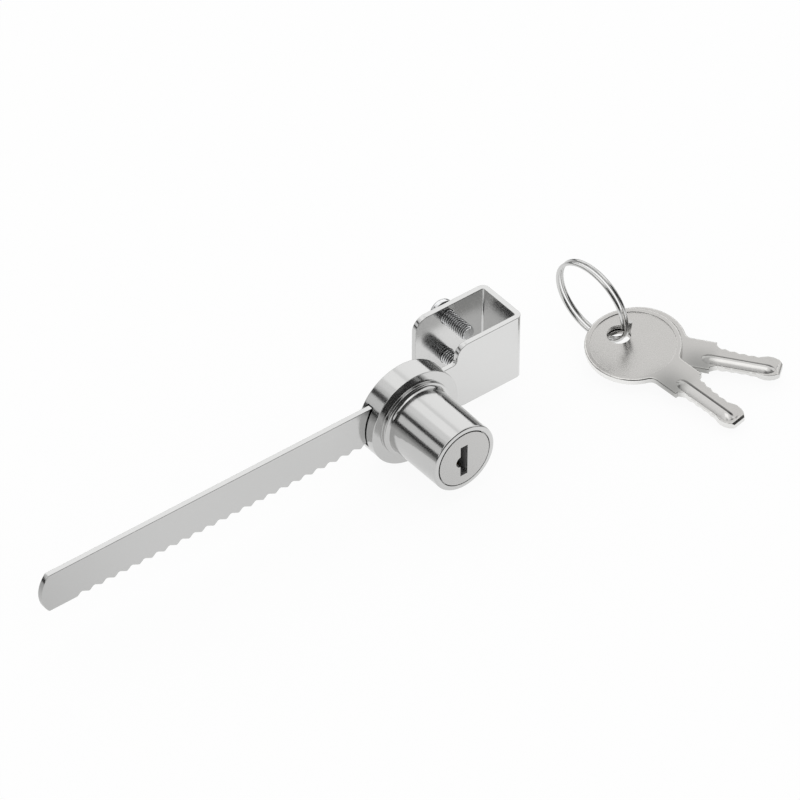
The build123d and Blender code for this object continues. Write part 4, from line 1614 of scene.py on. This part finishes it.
@dataclass
class KeysAndRing:
    """Two keys that hang on one split ring."""

    hole: Point = (29.9, -10.8, -9.4)
    yaw: float = -83.3
    pitch: float = 3.8
    roll: float = 6.1
    second_yaw: float = 30.4
    step: float = 2.05
    thickness: float = 1.9
    rounding: float = 0.5
    fine_share: float = 0.4
    field_share: float = 0.24
    bow_offset: float = BOW_OFFSET
    field_reach: float = 11.3
    rib_start: float = 21.3
    rib_end: float = 40.2
    rib_crest: float = -1.05
    rib_steep: float = 1.4
    rib_gentle: float = 1.9
    rib_nose: float = 2.6
    rib_height: float = 0.92
    rib_shine: float = 0.35
    rib_crown: float = 0.1
    rib_shade: Point = (-1.05, -0.5, 0.5)
    rib_sunk: float = 0.03
    rib_foot: float = 0.8
    rib_room: float = 1.6
    room_ends: float = 0.1
    room_height: Range = (-0.02, 2.0)
    room_edge: float = 0.05
    recess_floor: float = -0.1
    cut_start: float = 0.2
    rib_rows: int = 96
    rib_parts: int = 32
    shade_inset: float = 0.4
    shade_fade: float = 1.2
    mill_over: float = 1.5
    mill_past: float = 1.0
    mill_depth: Range = (-3.0, 2.5)
    weld: float = 0.06
    hole_radius: float = 2.8
    seen_hole_radius: float = 3.05
    hole_wall: float = 0.1
    hole_rim: float = 0.3
    upright_below: float = 0.4
    blade_end: float = 41.44
    blade_length: float = 17.4
    blade_half: float = 4.0
    left_edge: Outline = (
        (0.0, 3.9), (0.7, 3.2), (1.6, 2.7), (2.6, 2.95), (3.8, 2.4), (5.0, 2.65), (6.2, 2.15), (7.4, 2.45), (8.6, 2.1),
        (9.8, 2.4), (11.0, 2.15), (12.2, 2.6), (13.4, 3.05), (14.8, 3.0), (16.2, 2.6), (17.4, 1.7),
    )
    right_edge: Outline = (
        (0.0, 3.9), (0.8, 3.4), (1.8, 2.9), (3.0, 3.15), (4.2, 2.75), (5.4, 3.0), (6.6, 2.7), (7.8, 2.95), (9.0, 2.7),
        (10.2, 3.0), (11.4, 2.85), (12.6, 3.25), (13.8, 3.5), (15.2, 3.35), (16.4, 2.8), (17.4, 1.9),
    )
    tip_slope: float = 0.6
    tip_past: float = 0.3
    tip_side: float = 6.0
    ring_radius: float = 11.6
    ring_wire: float = 0.95
    ring_gap: float = 0.45
    ring_turns: int = 2
    ring_slant: float = 38.0
    ring_shift: float = 0.2

    def key_frame(self, turn: float, drop: float) -> Matrix:
        """Give a key's own frame: its hole at the origin, its blade along X.

        Args:
            turn: Turn about the hole from the upper key, in degrees.
            drop: Distance below the upper key, in millimetres.

        Returns:
            The frame, in metres.
        """
        place = Matrix.Translation(in_metres(self.hole))
        for angle, axis in ((self.yaw, "Z"), (self.pitch, "Y"), (self.roll, "X")):
            place = place @ Matrix.Rotation(radians(angle), 4, axis)
        return place @ Matrix.Translation(in_metres((0, 0, -drop))) @ Matrix.Rotation(radians(turn), 4, "Z")

    def tip_cutter(self) -> bpy.types.Mesh:
        """Make the wedge that slopes the top of the blade's end, in the key's own frame.

        Returns:
            A closed mesh.
        """
        past, side = self.tip_past, self.tip_side
        x, slope = self.blade_end, self.tip_slope
        profile = [(x - slope - past, past), (x + past, past), (x + past, -slope - past)]
        near, far = ([(a, y, b) for a, b in profile] for y in (-side, side))
        return prism("tip_slope", near, far)

    def rib(self) -> bpy.types.Mesh:
        """Make the domed rib with round ends, in the key's own frame.

        Returns:
            A closed mesh.
        """
        low, high, crown = self.rib_start, self.rib_end, self.rib_crown
        work = bmesh.new()
        rows = []
        for step in range(self.rib_rows + 1):
            x = low + (high - low) * step / self.rib_rows
            inward = min((x - low) / self.rib_nose, (high - x) / self.rib_nose, 1.0)
            reach = (1.0 - (1.0 - inward) ** 2.0) ** 0.5
            row = []
            for part in range(self.rib_parts + 1):
                across = 2 * part / self.rib_parts - 1
                half = self.rib_steep if across > 0 else self.rib_gentle
                off = min(hypot(1.0 - inward, across * reach), 1.0)
                ramp = max(across * reach / off, 0.0) if off else 0.0
                round_rise = max(cos(pi / 2 * off), 0.0)
                ramp_rise = 1.0 - (hypot(off, crown) - crown) / (hypot(1.0, crown) - crown)
                rise = round_rise + (ramp_rise - round_rise) * ramp
                y = self.rib_crest + half * across * reach
                row.append(work.verts.new(in_metres((x, y, self.rib_height * rise - self.rib_sunk))))
            rows.append(row)
        for near, far in zip(rows, rows[1:]):
            for part in range(self.rib_parts):
                work.faces.new((near[part], far[part], far[part + 1], near[part + 1]))
        rim = [edge for edge in work.edges if edge.is_boundary]
        made = bmesh.ops.extrude_edge_only(work, edges=rim)["geom"]
        for vertex in made:
            if isinstance(vertex, bmesh.types.BMVert):
                vertex.co.z = -self.rib_foot * MM
        bmesh.ops.remove_doubles(work, verts=work.verts[:], dist=MICRON)
        bmesh.ops.holes_fill(work, edges=[edge for edge in work.edges if edge.is_boundary])
        bmesh.ops.recalc_face_normals(work, faces=work.faces[:])
        return mesh_of("rib", work)

    def edge_cutter(self, side: int) -> bpy.types.Mesh:
        """Make what is milled off one edge of the blade, in the key's own frame.

        Args:
            side: 1 for the edge towards Y, -1 for the other.

        Returns:
            A closed mesh.
        """
        past = self.blade_half + self.mill_over
        end = self.blade_end + self.mill_past
        start = self.blade_end - self.blade_length
        edge = self.left_edge if side > 0 else self.right_edge
        profile = [(start + along, half) for along, half in edge]
        profile += [(end, edge[-1][1]), (end, past), (start, past)]
        near, far = ([(x, side * y, z) for x, y in profile] for z in self.mill_depth)
        return prism(f"blade_edge_{side + 1}", near, far)

    def widen_hole(self, frame: Matrix) -> Callable[[bpy.types.Mesh], None]:
        """Give the change that opens the key's hole to its seen size.

        Args:
            frame: The key's own frame, in metres.

        Returns:
            What moves the points of the key's mesh.
        """
        back = frame.inverted()

        def change(mesh: bpy.types.Mesh) -> None:
            """Move the points on the hole's wall outwards.

            Args:
                mesh: The joined copy of the key.
            """
            for vertex in mesh.vertices:
                own = back @ vertex.co
                if own.xy.length < (self.hole_radius + self.hole_wall) * MM:
                    own.xy *= self.seen_hole_radius / self.hole_radius
                    vertex.co = frame @ own

        return change

    def mark_sides(self, piece: bpy.types.Object, frame: Matrix) -> None:
        """Keep which faces are the key's upright sides as a number on the mesh, for their painted highlight.

        Args:
            piece: The key.
            frame: Its own frame, in metres.
        """
        upright = (frame.to_3x3() @ Vector((0, 0, 1))).normalized()
        back = frame.inverted()
        hole = (self.seen_hole_radius + self.hole_rim) * MM

        def is_side(face: bpy.types.MeshPolygon) -> float:
            """Give 1 for an upright face that isn't the hole's."""
            steep = abs(face.normal.dot(upright)) < self.upright_below
            return float(steep and (back @ face.center).xy.length > hole)

        keep_number(piece.data, "side", "FACE", is_side)

    def mark_rib_shadow(self, rib: bpy.types.Mesh) -> None:
        """Keep the painted shadow line along the rib's steep side as a number on the mesh.

        Args:
            rib: The rib in the key's own frame.
        """
        first, dark, last = self.rib_shade
        middle = (self.rib_start + self.rib_end) / 2
        reach = (self.rib_end - self.rib_start) / 2 - self.shade_inset

        def darkness(vertex: bpy.types.MeshVertex) -> float:
            """Say how dark the painted shadow makes a point of the rib.

            Args:
                vertex: The point.

            Returns:
                1 on the line, falling to 0 beside it and at its ends.
            """
            x, y, _ = vertex.co / MM
            rise = (y - first) / (dark - first) if y < dark else (last - y) / (last - dark)
            fade = (reach - abs(x - middle)) / self.shade_fade
            return min(max(rise, 0.0), 1.0) * min(max(fade, 0.0), 1.0)

        keep_number(rib, "ramp", "POINT", darkness)

    def build_key(self, bench: Bench, name: str, frame: Matrix) -> None:
        """Make one key.

        Args:
            bench: Where pieces are dressed.
            name: Its node.
            frame: Its own frame, in metres.
        """
        half = self.rib_room
        low = (self.rib_start - self.room_ends, -half, self.room_height[0])
        high = (self.rib_end + self.room_ends, half, self.room_height[1])
        cuts = [block("rib_room", low, high), self.tip_cutter(), self.edge_cutter(1), self.edge_cutter(-1)]
        for mesh in cuts:
            mesh.transform(frame)
        back = frame.inverted()
        bow = Vector((self.bow_offset, 0))

        def share(place: Vector) -> float:
            """Round the bow's recess and the blade's fine cuts less than the outline.

            Args:
                place: The middle of an edge, in metres.

            Returns:
                The share of the rounding that the edge gets.
            """
            own, edge = (back @ place) / MM, self.room_edge
            in_room = low[0] - edge < own.x < high[0] + edge and abs(own.y) < half + edge
            if in_room and own.z > self.recess_floor:
                return 0.0
            if (own.xy - bow).length < self.field_reach:
                return self.field_share
            return self.fine_share if own.x > self.blade_end - self.blade_length - self.cut_start else 1.0

        shape = self.widen_hole(frame)
        plate = bench.rounded(
            name, name + "_plate", self.rounding, shape=shape, cuts=cuts, share=share, steps=3, weld=self.weld
        )
        self.mark_sides(plate, frame)
        keep_own_place(plate, frame)
        rib = new_object(name + "_rib", self.rib())
        self.mark_rib_shadow(rib.data)
        rib.data.transform(frame)
        rib = settled(rib, name + "_rib", angle=60.0)
        keep_own_place(rib, frame)
        mark_rims(rib.data)
        # Painted highlight: the rib is marked as part side, so its colour is lightened too.
        keep_number(rib.data, "side", "FACE", lambda face: self.rib_shine)
        bench.fit(joined(name + "_blank", plate, rib), name)

    def ring_frame(self) -> Matrix:
        """Give the ring's own frame, its axis along Z.

        Returns:
            The frame, in metres.
        """
        slant = radians(self.ring_slant)
        middle = self.key_frame(0, (self.thickness + self.step) / 2)
        centre = (self.ring_shift - self.ring_radius * cos(slant), 0, self.ring_radius * sin(slant))
        return middle @ Matrix.Translation(in_metres(centre)) @ Matrix.Rotation(radians(90), 4, "X")

    def build(self, bench: Bench, wire: WoundWire) -> None:
        """Make the keys and the ring.

        Args:
            bench: Where pieces are dressed.
            wire: The tree that winds the ring.
        """
        self.build_key(bench, "key_front", self.key_frame(0.0, 0.0))
        self.build_key(bench, "key_back", self.key_frame(self.second_yaw, self.step))
        rise = self.ring_turns * (self.ring_wire + self.ring_gap)
        place = self.ring_frame() @ Matrix.Translation(in_metres((0, 0, -rise / 2)))
        ring = wire.coil(
            "wound_ring", self.ring_radius, rise, self.ring_turns, self.ring_wire, place, steps=96, sides=16
        )
        bench.fit(ring, "split_ring")


@dataclass(frozen=True)
class Band:
    """A band of the room around the table: heights and headings in degrees, and its shade."""

    name: str
    low: float
    high: float
    start: float
    end: float
    shade: float


BANDS = (
    Band("dark_horizon", -3.0, 10.0, 0.0, 360.0, 0.04),
    Band("grey_left", 10.0, 27.5, 122.0, 190.0, 0.82),
    Band("dark_left", 27.5, 36.5, 122.0, 190.0, 0.03),
    Band("pale_left", 36.5, 43.0, 122.0, 190.0, 0.82),
    Band("dark_front", 10.0, 57.0, -152.0, -40.0, 0.06),
    Band("pale_behind", 47.5, 60.0, 76.0, 112.0, 1.27),
)


@dataclass(frozen=True)
class Lamp:
    """A soft light: its way from the object, its distance and size in metres, and its level, where 1 is white."""

    name: str
    way: Point
    distance: float
    size: Range
    level: float


LAMPS = (
    Lamp("light_behind", (0.36, 0.78, 0.50), 1.7, (2.5, 1.25), 0.27),
    Lamp("light_above", (-0.15, -0.1, 1.0), 1.7, (1.0, 1.0), 0.5),
)


@dataclass
class Studio:
    """The pale floor, the soft lights and the camera.

    Distances are metres here, and aim and pool are places in millimetres.
    """

    aim: Point = (-27.4517, 4.5860, -10.9716)
    azimuth: float = -38.51208
    elevation: float = 41.23186
    roll: float = 0.24481
    distance: float = 1.954356
    focal_pixels: float = 7916.529
    sensor: float = 36.0
    floor_reach: float = 8.0
    paper: float = 0.86
    floor_white: float = 0.92
    floor_in_metal: float = 0.7
    pool: Point = (8.0, -26.0, 0.0)
    pool_reach: float = 0.075
    pool_level: float = 0.32
    surround: float = 0.95
    wall_distance: float = 1.3
    wall_steps: int = 48
    shade_start: float = 0.07
    shade_end: float = 0.18
    far_shade: float = 0.38

    def camera(self) -> None:
        """Stand the camera where the photograph was taken from."""
        data = bpy.data.cameras.new("camera")
        data.sensor_width = self.sensor
        data.lens = self.focal_pixels * self.sensor / IMAGE_SIDE
        data.clip_start = 0.05
        data.clip_end = 50.0
        az, el, turn = radians(self.azimuth), radians(self.elevation), radians(self.roll)
        ahead = Vector((-sin(az) * cos(el), cos(az) * cos(el), -sin(el)))
        right = Vector((cos(az), sin(az), 0.0))
        up = right.cross(ahead)
        tilted = right * cos(turn) + up * sin(turn)
        raised = up * cos(turn) - right * sin(turn)
        place = Matrix((tilted, raised, -ahead)).transposed().to_4x4()
        place.translation = in_metres(self.aim) - ahead * self.distance
        made = new_object("camera", data)
        made.matrix_world = place
        bpy.context.scene.camera = made

    def white_for_looks(self, graph: Graph) -> Sock:
        """Give 1 for rays that should meet plain white: from the camera, off gloss or through glass.

        Args:
            graph: The tree under way.

        Returns:
            1 for such a ray and 0 for any other.
        """
        path = graph.node("ShaderNodeLightPath")
        camera, gloss, glass = (graph.sock(path, f"Is {kind} Ray") for kind in ("Camera", "Glossy", "Transmission"))
        return camera.at_least(gloss).at_least(glass)

    def world(self) -> None:
        """Light the object evenly and show white behind it."""
        world = bpy.data.worlds.new("studio")
        bpy.context.scene.world = world
        graph = Graph(emptied(world))
        strength = self.white_for_looks(graph) * (1.0 - self.surround) + self.surround
        colour = (1.0, 1.0, 1.0, 1.0)
        back = graph.node("ShaderNodeBackground", None, {"Color": colour, "Strength": strength})
        graph.node("ShaderNodeOutputWorld", None, {"Surface": back.outputs[0]})

    def floor(self, height: float) -> None:
        """Lay the pale floor; seen in metal, it shows a painted pool of light near the pool point and painted shade
        far from the object.

        Args:
            height: Its place along Z, in metres.
        """
        work = bmesh.new()
        bmesh.ops.create_circle(work, cap_ends=True, segments=96, radius=self.floor_reach)
        for vertex in work.verts:
            vertex.co.z = height
        floor = new_object("floor", mesh_of("floor", work))
        material = bpy.data.materials.new("floor_paper")
        graph = Graph(emptied(material))
        paper = graph.node("ShaderNodeBsdfDiffuse", None, {"Color": (*[self.paper] * 3, 1.0)})
        seen = graph.sock(graph.node("ShaderNodeLightPath"), "Is Camera Ray")
        place = graph.node("ShaderNodeTexCoord").outputs["Object"]
        x, y, _ = (graph.sock(graph.node("ShaderNodeSeparateXYZ", None, {0: place}), axis) for axis in range(3))
        away, to_pool = (distance(x, y, spot[0] * MM, spot[1] * MM) for spot in (self.aim, self.pool))
        # Painted light in the floor's glow, seen only in metal: a pool of light around the pool point, and painted
        # shade that grows with distance from the aim.
        pool = to_pool.between(self.pool_reach, 0.0)
        shade = away.between(self.shade_start, self.shade_end) * (1.0 - self.far_shade)
        reflected = 1.0 - shade + pool * self.pool_level
        values = {"Color": (1.0, 1.0, 1.0, 1.0), "Strength": reflected * (1.0 - seen) + seen}
        glow = graph.node("ShaderNodeEmission", None, values)
        share = (self.white_for_looks(graph) * self.floor_in_metal).at_least(seen * self.floor_white)
        mix = graph.node("ShaderNodeMixShader", None, {0: share, 1: paper.outputs[0], 2: glow.outputs[0]})
        graph.node("ShaderNodeOutputMaterial", None, {"Surface": mix.outputs[0]})
        floor.data.materials.append(material)
        floor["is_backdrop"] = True

    def wall(self, band: Band) -> None:
        """Stand a band of shade around the table, seen only in polished metal.

        Args:
            band: Its place and shade.
        """
        work = bmesh.new()
        low, high = (self.wall_distance * tan(radians(angle)) for angle in (band.low, band.high))
        pairs = []
        for step in range(self.wall_steps + 1):
            angle = radians(band.start + (band.end - band.start) * step / self.wall_steps)
            x, y = self.wall_distance * cos(angle), self.wall_distance * sin(angle)
            pairs.append([work.verts.new((x, y, height)) for height in (low, high)])
        for near, far in zip(pairs, pairs[1:]):
            work.faces.new((near[0], near[1], far[1], far[0]))
        wall = new_object(band.name, mesh_of(band.name, work))
        material = bpy.data.materials.new(band.name)
        graph = Graph(emptied(material))
        glow = graph.node("ShaderNodeEmission", None, {"Color": (*[band.shade] * 3, 1.0), "Strength": 1.0})
        graph.node("ShaderNodeOutputMaterial", None, {"Surface": glow.outputs[0]})
        wall.data.materials.append(material)
        wall.visible_camera = False
        wall.visible_diffuse = False
        wall.visible_shadow = False
        wall.visible_transmission = False
        wall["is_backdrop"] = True

    def soft_light(self, lamp: Lamp) -> None:
        """Hang one soft light that points at the object.

        Args:
            lamp: Its place, size and level.
        """
        data = bpy.data.lights.new(lamp.name, "AREA")
        data.shape = "RECTANGLE"
        data.size, data.size_y = lamp.size
        data.energy = lamp.level * pi * lamp.size[0] * lamp.size[1]
        light = new_object(lamp.name, data)
        place = Vector(lamp.way).normalized() * lamp.distance + in_metres(self.aim)
        light.location = place
        light.rotation_euler = (place - in_metres(self.aim)).to_track_quat("Z", "Y").to_euler()

    def build(self, floor_height: float) -> None:
        """Set up the studio around the object.

        Args:
            floor_height: Where the floor lies, in metres.
        """
        bpy.context.scene.view_settings.view_transform = "Standard"
        self.world()
        self.floor(floor_height)
        for band in BANDS:
            self.wall(band)
        for lamp in LAMPS:
            self.soft_light(lamp)
        self.camera()


def main() -> None:
    """Build the lock, its keys and the studio."""
    logging.basicConfig(level=logging.INFO, format="%(message)s")
    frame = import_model()
    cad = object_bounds()
    bench = Bench(frame)
    wire = WoundWire()
    GlassBar().build(bench)
    ClampScrews().build(bench)
    Housing().build(bench)
    PlugAndWafers().build(bench, wire)
    KeysAndRing().build(bench, wire)
    Studio().build(cad[0][2])


if __name__ == "__main__":
    main()
